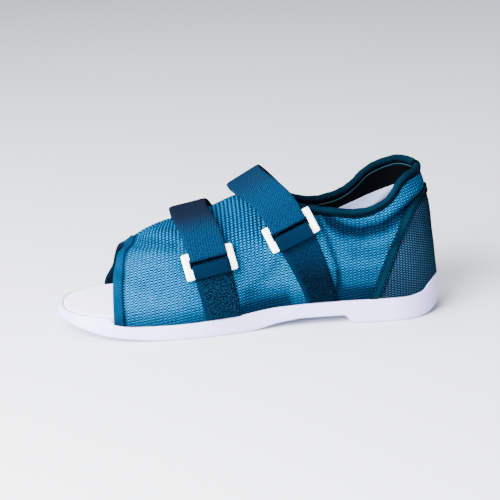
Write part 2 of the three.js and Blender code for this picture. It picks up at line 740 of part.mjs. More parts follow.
// Point of the upper with a given place across a strap
function upperUnderStrap(strap, side, across, along) {
  const { wide } = slopeAxes(strap.tilt);
  let s = strap.at * SHOE_LENGTH;
  for (let k = 0; k < 12; k += 1) {
    s += (across - upperPoint(side, placeOf(s), along).dot(wide)) / wide.x;
  }
  return { place: placeOf(s), point: upperPoint(side, placeOf(s), along) };
}

// Place and height share of the point of the upper's wall with a given x and height
function wallPlace(side, x, height) {
  let s = x + HEEL_BACK;
  let along = alongAtHeight(side, placeOf(s), height);
  for (let k = 0; k < 6; k += 1) {
    s += x - upperPoint(side, placeOf(s), along).x;
    along = alongAtHeight(side, placeOf(s), height);
  }
  return { place: placeOf(s), along };
}

// Ring and its own axes: "wide" along its bars, "up" along the wall and "out" away from it
function ringFrame(strap) {
  const slope = slopeAxes(strap.lean).wide;
  const side = SIDES.near;
  const spot = (from, w, direction) => {
    const target = from.clone().addScaledVector(direction, w);
    return wallPlace(side, target.x, target.z);
  };
  const start = vec(strap.at * SHOE_LENGTH - HEEL_BACK, 0, strap.up * INSTEP_HEIGHT);
  const reach = STRAP_WIDTH / 2;
  const spots = [-reach, 0, reach].map((w) => spot(start, w, slope));
  const out = spots
    .reduce((sum, { place, along }) => sum.add(upperNormal(side, place, along)), vec(0, 0, 0))
    .normalize();
  const wide = slope.clone().addScaledVector(out, -out.dot(slope)).normalize();
  const up = wide.clone().cross(out).normalize();
  const centre = upperPoint(side, spots[1].place, spots[1].along);
  const half = RING_WINDOW / 2 + RING_POST;
  const bows = [-1, -0.5, 0, 0.5, 1].flatMap((across) =>
    [-0.6, -0.3, 0, 0.3].map((rise) => {
      const from = centre.clone().addScaledVector(up, rise * RING_HEIGHT);
      const { place, along } = spot(from, across * half, wide);
      return upperPoint(side, place, along).sub(centre).dot(out);
    }),
  );
  const lift = 2 * GAP + LOOP_SLACK + ANCHOR_THICKNESS + RING_THICKNESS / 2 + strap.clear;
  centre.addScaledVector(out, lift + Math.max(...bows));
  return { centre, wide, up, out, across: centre.dot(slopeAxes(strap.tilt).wide) };
}

function ring(strap, material) {
  const frame = ringFrame(strap);
  const rounded = (path, width, low, high, radius) => {
    const w = width / 2;
    path.moveTo(-w + radius, low);
    path.lineTo(w - radius, low);
    path.absarc(w - radius, low + radius, radius, -Math.PI / 2, 0);
    path.absarc(w - radius, high - radius, radius, 0, Math.PI / 2);
    path.absarc(-w + radius, high - radius, radius, Math.PI / 2, Math.PI);
    path.absarc(-w + radius, low + radius, radius, Math.PI, 1.5 * Math.PI);
    return path;
  };
  const bevel = RING_BEVEL;
  const end = RING_HEIGHT / 2;
  const shape = new THREE.Shape();
  rounded(shape, RING_WINDOW + 2 * (RING_POST - bevel), bevel - end, end - bevel, RING_CORNER);
  const window = new THREE.Path();
  const windowLow = RING_BAR_LOW - end - bevel;
  const windowHigh = end - RING_BAR_TOP + bevel;
  rounded(window, RING_WINDOW + 2 * bevel, windowLow, windowHigh, 0.5 * RING_CORNER);
  shape.holes.push(window);
  const geometry = new THREE.ExtrudeGeometry(shape, {
    depth: RING_THICKNESS - 2 * bevel,
    bevelThickness: bevel,
    bevelSize: bevel,
    bevelSegments: 1,
    curveSegments: 3,
  });
  geometry.translate(0, 0, bevel - RING_THICKNESS / 2);
  const axes = new THREE.Matrix4().makeBasis(frame.wide, frame.up, frame.wide.clone().cross(frame.up));
  const mesh = new THREE.Mesh(geometry, material);
  mesh.name = `ring_${strap.name}`;
  mesh.position.copy(frame.centre);
  mesh.quaternion.setFromRotationMatrix(axes);
  return mesh;
}

// Distance from the middle of the ring's thickness to the middle of a band that lies on it
function bandLayer(thickness) {
  return RING_THICKNESS / 2 + GAP + LOOP_SLACK + thickness / 2;
}

// Loop of a band round one bar of its ring, in the ring's own directions. "turn" is 1 for the
// strap's loop, round the upper bar, and -1 for the anchor's, round the lower bar.
function barLoop(turn, thickness) {
  const barEdge = RING_HEIGHT / 2 - (turn > 0 ? RING_BAR_TOP : RING_BAR_LOW);
  const side = bandLayer(thickness);
  const start = 0.3 * RING_THICKNESS;
  const steps = 6;
  return Array.from({ length: steps + 1 }, (_, k) => {
    const angle = (Math.PI * k) / steps;
    const bulge = (value) => Math.sign(value) * Math.abs(value) ** LOOP_SQUARENESS;
    const depth = start + GAP + LOOP_SLACK + thickness / 2;
    return {
      up: turn * (barEdge + start - depth * bulge(Math.sin(angle))),
      out: -side * bulge(Math.cos(angle)),
    };
  });
}

function cubic(a, b, c, d, t) {
  return a
    .clone()
    .multiplyScalar((1 - t) ** 3)
    .addScaledVector(b, 3 * t * (1 - t) ** 2)
    .addScaledVector(c, 3 * t * t * (1 - t))
    .addScaledVector(d, t ** 3);
}

// Webbing strap: up the far wall, over the instep, round the ring's upper bar and back on itself
function strapBand(strap, material) {
  const { wide, up } = slopeAxes(strap.tilt);
  const frame = ringFrame(strap);
  const half = STRAP_WIDTH / 2;
  const archSteps = 8;
  const wallSteps = 5;
  const exit = RING_HEIGHT / 2 + STRAP_LEAVES;
  const layer = bandLayer(STRAP_THICKNESS);
  const wallOffset = GAP + STRAP_THICKNESS / 2;
  const crownAcross = frame.across + strap.drift;
  const ridge = upperUnderStrap(strap, SIDES.near, crownAcross, 1).point;
  const nearPoint = (w, t, n) =>
    frame.centre
      .clone()
      .addScaledVector(frame.wide, w)
      .addScaledVector(frame.up, t)
      .addScaledVector(frame.out, n);
  const crown = (w, lap) =>
    wide
      .clone()
      .multiplyScalar(crownAcross + w)
      .addScaledVector(up, ridge.dot(up) + strap.stand + lap);
  const farWall = (w, along, lap) => {
    const { place, point } = upperUnderStrap(strap, SIDES.far, frame.across + w, along);
    return point.addScaledVector(upperNormal(SIDES.far, place, along), wallOffset + lap);
  };
  // Half of the arch from a wall up to the crown, as points from the wall
  const arch = (foot, direction, top, bulge) => {
    const rise = top.clone().sub(foot);
    const low = foot.clone().addScaledVector(direction, STRAP_HANDLE_UP * rise.length());
    low.y += bulge * Math.sign(foot.y);
    const high = top.clone().setY(foot.y * STRAP_HANDLE_ACROSS);
    return Array.from({ length: archSteps }, (_, k) => cubic(foot, low, high, top, k / archSteps));
  };
  const farRun = (w, from, lap) =>
    Array.from({ length: wallSteps }, (_, k) => farWall(w, mix(from, strap.farTop, k / wallSteps), lap));
  const farArch = (w, lap) => {
    const step = 0.02;
    const above = farWall(w, strap.farTop + step, lap);
    const climb = above.sub(farWall(w, strap.farTop - step, lap)).normalize();
    return arch(farWall(w, strap.farTop, lap), climb, crown(w, lap), strap.farBulge);
  };
  const nearArch = (w, out, lap) =>
    arch(nearPoint(w, exit, out), frame.up, crown(w, lap), strap.nearBulge);
  const column = (w) => [
    ...farRun(w, STRAP_START_UP, 0),
    ...farArch(w, 0),
    crown(w, 0),
    ...nearArch(w, -layer, 0).reverse(),
    ...barLoop(1, STRAP_THICKNESS).map((p) => nearPoint(w, p.up, p.out)),
    ...nearArch(w, layer, STRAP_LAP),
    crown(w, STRAP_LAP),
    ...farArch(w, STRAP_LAP).reverse(),
    ...farRun(w, STRAP_END_UP, STRAP_LAP).reverse(),
  ];
  const columns = [-half, 0, half].map(column);
  const grid = columns[0].map((_, i) => columns.map((points) => points[i]));
  return sheetMesh(`strap_${strap.name}`, grid, STRAP_THICKNESS, material);
}

// Pile-faced anchor: up the near wall from the sole, round the ring's lower bar and turned over
function anchor(strap, material) {
  const frame = ringFrame(strap);
  const half = STRAP_WIDTH / 2;
  const layer = bandLayer(ANCHOR_THICKNESS);
  const foot = outline(placeOf(strap.foot * SHOE_LENGTH));
  const offset = GAP + ANCHOR_THICKNESS / 2;
  const point = (w, t, n) =>
    frame.centre
      .clone()
      .addScaledVector(frame.wide, w)
      .addScaledVector(frame.up, t)
      .addScaledVector(frame.out, n);
  const wallSteps = 9;
  const column = (w) => {
    const under = point(w, -RING_HEIGHT / 2 - ANCHOR_LEAVES, 0);
    const wall = Array.from({ length: wallSteps }, (_, k) => {
      const t = k / wallSteps;
      const x = mix(foot.x + w * strap.footWidth, under.x, t ** ANCHOR_SWEEP);
      const z = mix(sideHeight(foot.s) + ANCHOR_FOOT_UP, under.z, t);
      const { place, along } = wallPlace(SIDES.near, x, z);
      return upperSkin(SIDES.near, place, along, offset);
    });
    return [
      ...wall,
      point(w, -RING_HEIGHT / 2, -layer),
      ...barLoop(-1, ANCHOR_THICKNESS).map((p) => point(w, p.up, p.out)),
      point(w, RING_BAR_LOW - RING_HEIGHT / 2 - FOLD_OVER, layer),
      point(w, -RING_HEIGHT / 2 - FOLD_PAST, (1 - FOLD_SINK) * layer),
    ];
  };
  const columns = [-1, -0.5, 0, 0.5, 1].map((part) => column(part * half));
  const grid = columns[0].map((_, i) => columns.map((points) => points[i]));
  return sheetMesh(`anchor_${strap.name}`, grid, ANCHOR_THICKNESS, material);
}

const finish = (color, roughness) => new THREE.MeshStandardMaterial({ color, roughness, metalness: 0 });

const shoe = new THREE.Group();
shoe.add(
  outsole(finish(0xdcd9ea, 0.6)),
  insole(finish(0xe6e3f2, 0.7)),
  upper(finish(0x2f6f9c, 0.85)),
  toeBinding(finish(0x155a78, 0.8)),
  collarRoll(finish(0x14506c, 0.8)),
  counterTape(finish(0x123f58, 0.8)),
);
for (const strap of STRAPS) {
  shoe.add(
    ring(strap, finish(0xf7f8fb, 0.35)),
    strapBand(strap, finish(0x1a4a7c, 0.75)),
    anchor(strap, finish(0x0f1d33, 0.95)),
  );
}
export default shoe;
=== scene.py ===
"""Post operative shoe in Blender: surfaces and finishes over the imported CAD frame.

Lengths are worked out in millimetres in the CAD's own frame (+X to the toe, +Y to the shoe's
left, +Z up, origin on the floor under the heel) and written to the meshes in metres.
"""
import logging
import math
from dataclasses import dataclass, field
from enum import Enum
from typing import Sequence

import bpy
import numpy as np
from mathutils import Matrix, Vector


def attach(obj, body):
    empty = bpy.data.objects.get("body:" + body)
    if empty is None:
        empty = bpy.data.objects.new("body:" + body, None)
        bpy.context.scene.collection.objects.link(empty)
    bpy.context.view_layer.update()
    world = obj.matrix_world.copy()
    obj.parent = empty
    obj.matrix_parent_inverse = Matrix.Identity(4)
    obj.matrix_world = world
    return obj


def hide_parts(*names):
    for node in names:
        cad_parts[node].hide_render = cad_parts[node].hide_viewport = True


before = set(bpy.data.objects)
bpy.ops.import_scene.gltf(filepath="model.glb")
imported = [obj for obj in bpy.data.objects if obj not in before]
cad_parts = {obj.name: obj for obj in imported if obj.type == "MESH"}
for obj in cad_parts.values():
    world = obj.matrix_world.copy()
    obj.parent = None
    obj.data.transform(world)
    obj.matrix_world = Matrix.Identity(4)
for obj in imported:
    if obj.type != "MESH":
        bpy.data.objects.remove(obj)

Array = np.ndarray
Colour = tuple[float, float, float]

MM = 0.001
BODY = "root"
LOG = logging.getLogger("shoe")


class Side(Enum):
    """The two sides of the shoe; the rings are on the near one."""

    NEAR = 1
    FAR = -1


class Slot(Enum):
    """Names of the material slots."""

    SOLE = "sole"
    INSOLE = "insole"
    MESH = "mesh"
    BINDING = "binding"
    TAPE = "tape"
    RING = "ring"
    WEBBING = "webbing"
    PILE = "pile"


# Numbers and surfaces


class Table:
    """Columns of numbers against one rising column, with a smooth curve through each."""

    def __init__(self, at: Sequence[float], **columns: Sequence[float]) -> None:
        """Keeps the columns as arrays.

        Args:
            at: The rising column.
            columns: The others, by name.
        """
        self.at = np.asarray(at, float)
        self.columns = {name: np.asarray(values, float) for name, values in columns.items()}

    def __call__(self, column: str, at: Array) -> Array:
        """Curve through one column, without overshoot between its rows.

        Each stretch is the Hermite cubic of its two rows. The slope at a row is the harmonic mean
        of the slopes before and after it, and 0 at the ends and where those differ in sign.

        Args:
            column: Name of the column.
            at: Where to read it.

        Returns:
            The values, in the shape of ``at``.
        """
        x, y = self.at, self.columns[column]
        place = np.clip(at, x[0], x[-1])
        row = np.clip(np.searchsorted(x, place, side="left") - 1, 0, len(x) - 2)
        slope = np.diff(y) / np.diff(x)
        product = slope[:-1] * slope[1:]
        total = np.where(product > 0, slope[:-1] + slope[1:], 1)
        knot = np.zeros(len(x))
        knot[1:-1] = np.where(product > 0, 2 * product / total, 0)
        step = x[row + 1] - x[row]
        t = (place - x[row]) / step
        return (
            y[row] * (1 + 2 * t) * (1 - t) ** 2
            + knot[row] * step * t * (1 - t) ** 2
            + y[row + 1] * t * t * (3 - 2 * t)
            + knot[row + 1] * step * t * t * (t - 1)
        )


def mix(a: Array, b: Array, t: Array) -> Array:
    """a + (b - a) t."""
    return a + (b - a) * t


def ease(t: Array) -> Array:
    """3 t^2 - 2 t^3 with t held between 0 and 1."""
    t = np.clip(t, 0, 1)
    return t * t * (3 - 2 * t)


def unit(v: Array) -> Array:
    """Vectors scaled to a length of 1."""
    return v / np.maximum(np.linalg.norm(v, axis=-1, keepdims=True), 1e-12)


def bell(distance: Array, width: float) -> Array:
    """exp(-(distance / width)^2)."""
    return np.exp(-((distance / width) ** 2))


def ripple(p: Array, wavelength: float, seed: int) -> Array:
    """Soft irregular waves of about one wavelength: the mean of 9 sine waves.

    Args:
        p: Points, in millimetres.
        wavelength: Length of the waves, in millimetres.
        seed: Seed of the waves' directions and phases.

    Returns:
        Heights of about -1 to 1.
    """
    rng = np.random.default_rng(seed)
    directions = unit(rng.normal(size=(9, 3))) * rng.uniform(0.7, 1.4, (9, 1))
    phases = rng.uniform(0, 2 * math.pi, 9)
    return np.sin(p @ directions.T * (2 * math.pi / wavelength) + phases).mean(axis=-1) * 2.2


def path_distance(x: Array, z: Array, path: Sequence[tuple[float, float]]) -> Array:
    """Distance of points from a chain of straight stretches, in the shoe's side view.

    Args:
        x: Places along the shoe.
        z: Heights.
        path: Corners of the chain, as (x, z).

    Returns:
        The shortest distance to any stretch.
    """
    best = np.full(np.shape(x), 1e9)
    for (ax, az), (bx, bz) in zip(path[:-1], path[1:]):
        dx, dz = bx - ax, bz - az
        t = np.clip(((x - ax) * dx + (z - az) * dz) / (dx * dx + dz * dz), 0, 1)
        best = np.minimum(best, np.hypot(x - ax - t * dx, z - az - t * dz))
    return best


def cubic(a: Array, b: Array, c: Array, d: Array, t: Array) -> Array:
    """Bezier curve (1-t)^3 a + 3t(1-t)^2 b + 3t^2(1-t) c + t^3 d."""
    return a * (1 - t) ** 3 + b * 3 * t * (1 - t) ** 2 + c * 3 * t * t * (1 - t) + d * t**3


def grid_quads(rows: int, columns: int, wrap_rows: bool = False, wrap_columns: bool = False) -> Array:
    """Quads between the points of a grid, with its rows one after the other.

    Args:
        rows: Number of rows.
        columns: Number of columns.
        wrap_rows: Whether the last row joins the first.
        wrap_columns: Whether the last column joins the first.

    Returns:
        One row of four point numbers per quad.
    """
    i = np.arange(rows if wrap_rows else rows - 1)
    j = np.arange(columns if wrap_columns else columns - 1)
    i, j = np.meshgrid(i, j, indexing="ij")
    down, right = (i + 1) % rows, (j + 1) % columns
    quads = [i * columns + j, down * columns + j, down * columns + right, i * columns + right]
    return np.stack(quads, axis=-1).reshape(-1, 4)


def grid_normals(grid: Array, wrap_rows: bool = False, wrap_columns: bool = False) -> Array:
    """Directions square to a grid: the cross product of its central differences."""

    def difference(axis: int, wrap: bool) -> Array:
        if wrap:
            return np.roll(grid, -1, axis) - np.roll(grid, 1, axis)
        return np.gradient(grid, axis=axis)

    return unit(np.cross(difference(0, wrap_rows), difference(1, wrap_columns)))


def lengths_along(grid: Array, axis: int) -> Array:
    """Running length along one axis of a grid of points, from 0."""
    steps = np.linalg.norm(np.diff(grid, axis=axis), axis=-1)
    pad = [(0, 0)] * steps.ndim
    pad[axis] = (1, 0)
    return np.cumsum(np.pad(steps, pad), axis=axis)


@dataclass
class Surface:
    """Points in millimetres with faces, fabric coordinates and named values per point."""

    points: Array
    quads: Array
    triangles: Array = field(default_factory=lambda: np.empty((0, 3), int))
    fabric: Array | None = None
    values: dict[str, Array] = field(default_factory=dict)

    def corners(self) -> Array:
        """All faces as triangles: each quad is split in two."""
        split = [self.quads[:, [0, 1, 2]], self.quads[:, [0, 2, 3]], self.triangles]
        return np.concatenate(split).astype(int)

    def turned(self) -> "Surface":
        """The same surface with its faces the other way round."""
        self.quads, self.triangles = self.quads[:, ::-1], self.triangles[:, ::-1]
        return self

    def outward(self) -> "Surface":
        """Turns a closed surface so that the volume inside it counts as positive."""
        a, b, c = (self.points[self.corners()[:, k]] for k in range(3))
        return self.turned() if np.einsum("ij,ij->i", a, np.cross(b, c)).sum() < 0 else self

    def facing(self, directions: Array) -> "Surface":
        """Turns an open surface so that its faces look along given directions at its points."""
        corners = self.corners()
        a, b, c = (self.points[corners[:, k]] for k in range(3))
        looks = np.einsum("ij,ij->i", np.cross(b - a, c - a), directions[corners[:, 0]]).sum()
        return self.turned() if looks < 0 else self


def merged(surfaces: Sequence[Surface]) -> Surface:
    """Several surfaces as one, with the first one's value names."""
    starts = np.cumsum([0] + [len(s.points) for s in surfaces[:-1]])
    has_fabric = all(s.fabric is not None for s in surfaces)
    return Surface(
        np.concatenate([s.points for s in surfaces]),
        np.concatenate([s.quads + n for s, n in zip(surfaces, starts)]),
        np.concatenate([s.triangles + n for s, n in zip(surfaces, starts)]),
        np.concatenate([s.fabric for s in surfaces]) if has_fabric else None,
        {k: np.concatenate([s.values[k] for s in surfaces]) for k in surfaces[0].values},
    )


def shell(outer: Array, inner: Array, fabric: Array, values: dict[str, Array] | None = None) -> Surface:
    """Closed body between two grids of points of the same shape.

    Args:
        outer: One face, rows by columns by 3.
        inner: The other face.
        fabric: Fabric coordinates of both, rows by columns by 2.
        values: Named values of both, rows by columns each.

    Returns:
        The closed surface.
    """
    rows, columns = outer.shape[:2]
    count = rows * columns
    face = grid_quads(rows, columns)
    number = np.arange(count).reshape(rows, columns)
    rim = np.concatenate([number[0], number[1:, -1], number[-1, -2::-1], number[-2:0:-1, 0]])
    after = np.roll(rim, -1)
    sides = np.stack([rim, after, after + count, rim + count], axis=1)
    return Surface(
        np.concatenate([outer.reshape(-1, 3), inner.reshape(-1, 3)]),
        np.concatenate([face, face[:, ::-1] + count, sides]),
        fabric=np.tile(fabric.reshape(-1, 2), (2, 1)),
        values={k: np.tile(v.reshape(-1), 2) for k, v in (values or {}).items()},
    ).outward()


def band(grid: Array, thickness: Array, fabric: Array, values: dict[str, Array] | None = None) -> Surface:
    """Closed body of a given thickness about a grid of points."""
    shift = grid_normals(grid) * (np.broadcast_to(thickness, grid.shape[:2])[..., None] / 2)
    return shell(grid + shift, grid - shift, fabric, values)


def tube(rings: Array, closed: bool, fabric: Array, values: dict[str, Array] | None = None) -> Surface:
    """Skin through a row of closed rings of points.

    Args:
        rings: Rings by points by 3.
        closed: Whether the last ring joins the first. Otherwise both ends are closed by fans.
        fabric: Fabric coordinates, rings by points by 2.
        values: Named values, rings by points each.

    Returns:
        The closed surface.
    """
    rows, columns = rings.shape[:2]
    points, flat = rings.reshape(-1, 3), fabric.reshape(-1, 2)
    extra = {k: v.reshape(-1) for k, v in (values or {}).items()}
    quads = grid_quads(rows, columns, wrap_rows=closed, wrap_columns=True)
    fans = np.empty((0, 3), int)
    if not closed:
        here, after = np.arange(columns), np.roll(np.arange(columns), -1)
        first, last = rows * columns, rows * columns + 1
        start = np.stack([np.full(columns, first), here, after], axis=1)
        base = (rows - 1) * columns
        end = np.stack([np.full(columns, last), after + base, here + base], axis=1)
        fans = np.concatenate([start, end])
        points = np.concatenate([points, rings[[0, -1]].mean(axis=1)])
        flat = np.concatenate([flat, fabric[[0, -1]].mean(axis=1)])
        extra = {k: np.concatenate([v, v[[0, -1]]]) for k, v in extra.items()}
    return Surface(points, quads, fans, flat, extra).outward()


def add_piece(
    name: str,
    surface: Surface,
    material: bpy.types.Material,
    replaces: Sequence[str] = (),
) -> bpy.types.Object:
    """Puts a surface into a mesh object that rides on the shoe.

    Args:
        name: Name of the piece.
        surface: Its points and faces.
        material: Its finish.
        replaces: CAD nodes that it stands for.

    Returns:
        The new object.
    """
    mesh = bpy.data.meshes.new(name)
    faces = [surface.quads.astype(np.int32), surface.triangles.astype(np.int32)]
    corners = np.concatenate([f.ravel() for f in faces])
    totals = np.concatenate([np.full(len(f), f.shape[1]) for f in faces])
    mesh.vertices.add(len(surface.points))
    mesh.vertices.foreach_set("co", (surface.points * MM).astype(np.float32).ravel())
    mesh.loops.add(len(corners))
    mesh.loops.foreach_set("vertex_index", corners)
    mesh.polygons.add(len(totals))
    mesh.polygons.foreach_set("loop_start", np.concatenate([[0], np.cumsum(totals)[:-1]]).astype(np.int32))
    mesh.update(calc_edges=True)
    mesh.polygons.foreach_set("use_smooth", np.ones(len(totals), bool))
    if surface.fabric is not None:
        layer = mesh.uv_layers.new(name="fabric")
        layer.data.foreach_set("uv", surface.fabric[corners].astype(np.float32).ravel())
    for key, values in surface.values.items():
        attribute = mesh.attributes.new(key, "FLOAT", "POINT")
        attribute.data.foreach_set("value", values.astype(np.float32))
    mesh.materials.append(material)
    piece = bpy.data.objects.new(name, mesh)
    bpy.context.scene.collection.objects.link(piece)
    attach(piece, BODY)
    if replaces:
        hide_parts(*replaces)
    LOG.info("%s: %d points, %d triangles", name, len(surface.points), len(surface.corners()))
    return piece


# Finishes


def srgb(code: str) -> Colour:
    """Linear colour of a code such as 4a9ccf."""
    shares = [int(code[k : k + 2], 16) / 255 for k in (0, 2, 4)]
    return tuple(c / 12.92 if c <= 0.04045 else ((c + 0.055) / 1.055) ** 2.4 for c in shares)


Socket = bpy.types.NodeSocket


class Shader:
    """Node tree of one material, led by its Principled shader."""

    def __init__(self, name: str, roughness: float, **sockets: float | Colour) -> None:
        """Makes the material.

        Args:
            name: Name of the material.
            roughness: Roughness of the shader.
            sockets: Other fixed settings of the shader, with underscores for spaces.
        """
        self.material = bpy.data.materials.new(name)
        self.material.use_nodes = True
        self.tree = self.material.node_tree
        self.tree.nodes.clear()
        self.shader = self.tree.nodes.new("ShaderNodeBsdfPrincipled")
        output = self.tree.nodes.new("ShaderNodeOutputMaterial")
        self.tree.links.new(self.shader.outputs[0], output.inputs[0])
        self.shader.inputs["Roughness"].default_value = roughness
        for key, value in sockets.items():
            level = (*value, 1.0) if isinstance(value, tuple) else value
            self.shader.inputs[key.replace("_", " ")].default_value = level

    def node(self, kind: str, **settings: object) -> bpy.types.Node:
        """New node with some of its settings."""
        node = self.tree.nodes.new(f"ShaderNode{kind}")
        for key, value in settings.items():
            setattr(node, key, value)
        return node

    def put(self, socket: Socket, value: object) -> None:
        """Links a socket to another, or sets its own value."""
        if isinstance(value, bpy.types.NodeSocket):
            self.tree.links.new(value, socket)
        elif isinstance(value, tuple) and len(value) == 3 and socket.type == "RGBA":
            socket.default_value = (*value, 1.0)
        else:
            socket.default_value = value

    def math(self, operation: str, *values: object, clamp: bool = False) -> Socket:
        """Result of a Math node."""
        node = self.node("Math", operation=operation, use_clamp=clamp)
        for socket, value in zip(node.inputs, values):
            self.put(socket, value)
        return node.outputs[0]

    def wave(self, length: object, period: float, phase: object = 0.0) -> Socket:
        """0.5 + 0.5 sin(2 pi (length / period + phase))."""
        turns = self.math("ADD", self.math("DIVIDE", length, period), phase)
        sine = self.math("SINE", self.math("MULTIPLY", turns, 2 * math.pi))
        return self.math("MULTIPLY_ADD", sine, 0.5, 0.5)

    def fabric(self) -> tuple[Socket, Socket, Socket]:
        """Fabric coordinates in millimetres: across, along, and both as a vector."""
        vector = self.node("UVMap", uv_map="fabric").outputs[0]
        parts = self.node("SeparateXYZ")
        self.put(parts.inputs[0], vector)
        return parts.outputs[0], parts.outputs[1], vector

    def place(self) -> Socket:
        """Object coordinates, in metres."""
        return self.node("TexCoord").outputs["Object"]

    def value(self, name: str) -> Socket:
        """Named value that is kept per point."""
        return self.node("Attribute", attribute_name=name).outputs["Fac"]

    def noise(self, vector: Socket, scale: float, detail: float = 3.0) -> Socket:
        """Noise of about 0 to 1."""
        node = self.node("TexNoise")
        self.put(node.inputs["Vector"], vector)
        self.put(node.inputs["Scale"], scale)
        self.put(node.inputs["Detail"], detail)
        return node.outputs[0]

    def span(
        self, value: Socket, low: float, high: float, to_low: float = 0.0, to_high: float = 1.0
    ) -> Socket:
        """Value carried from one range to another, held at its ends."""
        node = self.node("MapRange", clamp=True)
        for socket, level in zip(node.inputs, (value, low, high, to_low, to_high)):
            self.put(socket, level)
        return node.outputs[0]

    def blend(self, factor: object, a: object, b: object) -> Socket:
        """Colour a at 0 to colour b at 1."""
        node = self.node("Mix", data_type="RGBA")
        self.put(node.inputs["Factor"], factor)
        self.put(node.inputs[6], a)
        self.put(node.inputs[7], b)
        return node.outputs[2]

    def level(self, factor: object, a: object, b: object) -> Socket:
        """Number a at 0 to number b at 1."""
        node = self.node("Mix")
        self.put(node.inputs[0], factor)
        self.put(node.inputs[2], a)
        self.put(node.inputs[3], b)
        return node.outputs[0]

    def tinted(self, factor: object, colour: object, tint: object) -> Socket:
        """Colour times tint, to the extent of the factor."""
        node = self.node("Mix", data_type="RGBA", blend_type="MULTIPLY")
        self.put(node.inputs["Factor"], factor)
        self.put(node.inputs[6], colour)
        self.put(node.inputs[7], tint)
        return node.outputs[2]

    def bump(self, height: Socket, depth: float, normal: Socket | None = None) -> Socket:
        """Normal of a height of 0 to 1 over a depth in millimetres."""
        node = self.node("Bump")
        self.put(node.inputs["Distance"], depth * MM)
        self.put(node.inputs["Height"], height)
        if normal is not None:
            self.put(node.inputs["Normal"], normal)
        return node.outputs[0]

    def finish(
        self, colour: object, normal: Socket | None = None, roughness: Socket | None = None
    ) -> bpy.types.Material:
        """Gives the shader its colour, normal and roughness, and hands over the material."""
        self.put(self.shader.inputs["Base Color"], colour)
        if normal is not None:
            self.put(self.shader.inputs["Normal"], normal)
        if roughness is not None:
            self.put(self.shader.inputs["Roughness"], roughness)
        return self.material


@dataclass(frozen=True)
class KnitFinish:
    """Blue spacer mesh: wales up the shoe, crossed by wavy courses with dark gaps between them."""

    name: str = "spacer mesh"
    wale: float = 2.7
    course: float = 1.85
    dot: tuple[float, float] = (4.2, 1.65)
    thread: Colour = srgb("1572a3")
    middle: Colour = srgb("052f50")
    gap: Colour = srgb("010c1a")
    counter_dot: Colour = srgb("2f526d")
    counter_ground: Colour = srgb("0a1a29")
    # Tint of the random clouding and of the painted shade.
    shade: Colour = (0.25, 0.13, 0.15)

    def material(self) -> bpy.types.Material:
        """Thread shows where the pattern is high, with dark gaps between.

        With F the turns up the courses and W those across the wales, the pattern is
        0.34 wave(F) + 0.38 wave(F + W) + 0.28 wave(F - W): courses of short slanting dashes.
        """
        s = Shader(self.name, 0.9, Specular_IOR_Level=0.0)
        across, along, vector = s.fabric()
        drift = s.math("MULTIPLY", s.noise(vector, 0.05, 2.0), 0.8)
        wale = s.wave(across, self.wale, 0.25)
        rise = s.value("rise")
        turns = s.math("ADD", s.math("DIVIDE", along, self.course), drift)
        courses = s.math("MULTIPLY", s.wave(0.0, 1.0, turns), 0.34)
        courses = s.math("MULTIPLY_ADD", s.wave(across, self.wale, turns), 0.38, courses)
        courses = s.math("MULTIPLY_ADD", s.wave(across, -self.wale, turns), 0.28, courses)
        crest = s.math("MULTIPLY", rise, rise)
        courses = s.math("MULTIPLY", courses, s.math("MULTIPLY_ADD", crest, -0.3, 1.0))
        front = s.math("MULTIPLY_ADD", wale, s.math("MULTIPLY", crest, 0.25), courses)
        wide, high = self.dot
        falling = s.wave(across, wide, s.math("DIVIDE", along, high))
        rising = s.wave(across, wide, s.math("DIVIDE", along, -high))
        dots = s.math("MULTIPLY", falling, rising)
        both = s.level(s.value("counter"), front, dots)
        height = s.math("MULTIPLY_ADD", s.noise(vector, 0.85, 3.0), 0.6, s.math("SUBTRACT", both, 0.3))
        colour = s.blend(s.span(height, 0.2, 0.5), self.gap, self.middle)
        colour = s.blend(s.span(height, 0.45, 0.8), colour, self.thread)
        behind = s.blend(s.span(height, 0.3, 0.75), self.counter_ground, self.counter_dot)
        colour = s.blend(s.value("counter"), colour, behind)
        cloud = s.span(s.noise(s.place(), 26.0, 3.0), 0.35, 0.7)
        colour = s.tinted(s.math("MULTIPLY", cloud, 0.35), colour, self.shade)
        # Painted shade from the sheet's shade value.
        colour = s.tinted(s.value("shade"), colour, self.shade)
        return s.finish(colour, s.bump(height, 0.5))


@dataclass(frozen=True)
class LiningFinish:
    """Black knitted lining with a fine nap."""

    name: str = "black lining"
    colour: Colour = srgb("020304")
    lint: Colour = srgb("060709")

    def material(self) -> bpy.types.Material:
        """Fine speckle on a near-black cloth."""
        s = Shader(self.name, 0.95, Specular_IOR_Level=0.0)
        speckle = s.noise(s.place(), 1400.0, 2.0)
        return s.finish(s.blend(s.span(speckle, 0.4, 0.8), self.colour, self.lint), s.bump(speckle, 0.25))


@dataclass(frozen=True)
class BindingFinish:
    """Knitted binding tape: short ribs across it."""

    name: str
    light: Colour
    dark: Colour
    rib: float = 1.3
    depth: float = 0.18

    def material(self) -> bpy.types.Material:
        """Ribs across the tape, with thread noise and soft light and dark patches."""
        s = Shader(self.name, 0.8, Specular_IOR_Level=0.01)
        across, along, vector = s.fabric()
        rib = s.wave(along, self.rib, s.math("MULTIPLY", s.wave(across, 1.1), 0.25))
        height = s.math("MULTIPLY_ADD", s.noise(vector, 2.4, 2.0), 0.6, s.math("MULTIPLY", rib, 0.5))
        cloud = s.span(s.noise(s.place(), 60.0, 3.0), 0.3, 0.7, -0.15, 0.15)
        level = s.math("ADD", s.span(height, 0.2, 0.9), cloud, clamp=True)
        # The shade value darkens the tape: painted shade on the toe binding, collar roll, hem and join, and
        # darker rims on the counter tape.
        colour = s.tinted(s.value("shade"), s.blend(level, self.dark, self.light), (0.5, 0.2, 0.2))
        return s.finish(colour, s.bump(height, self.depth))


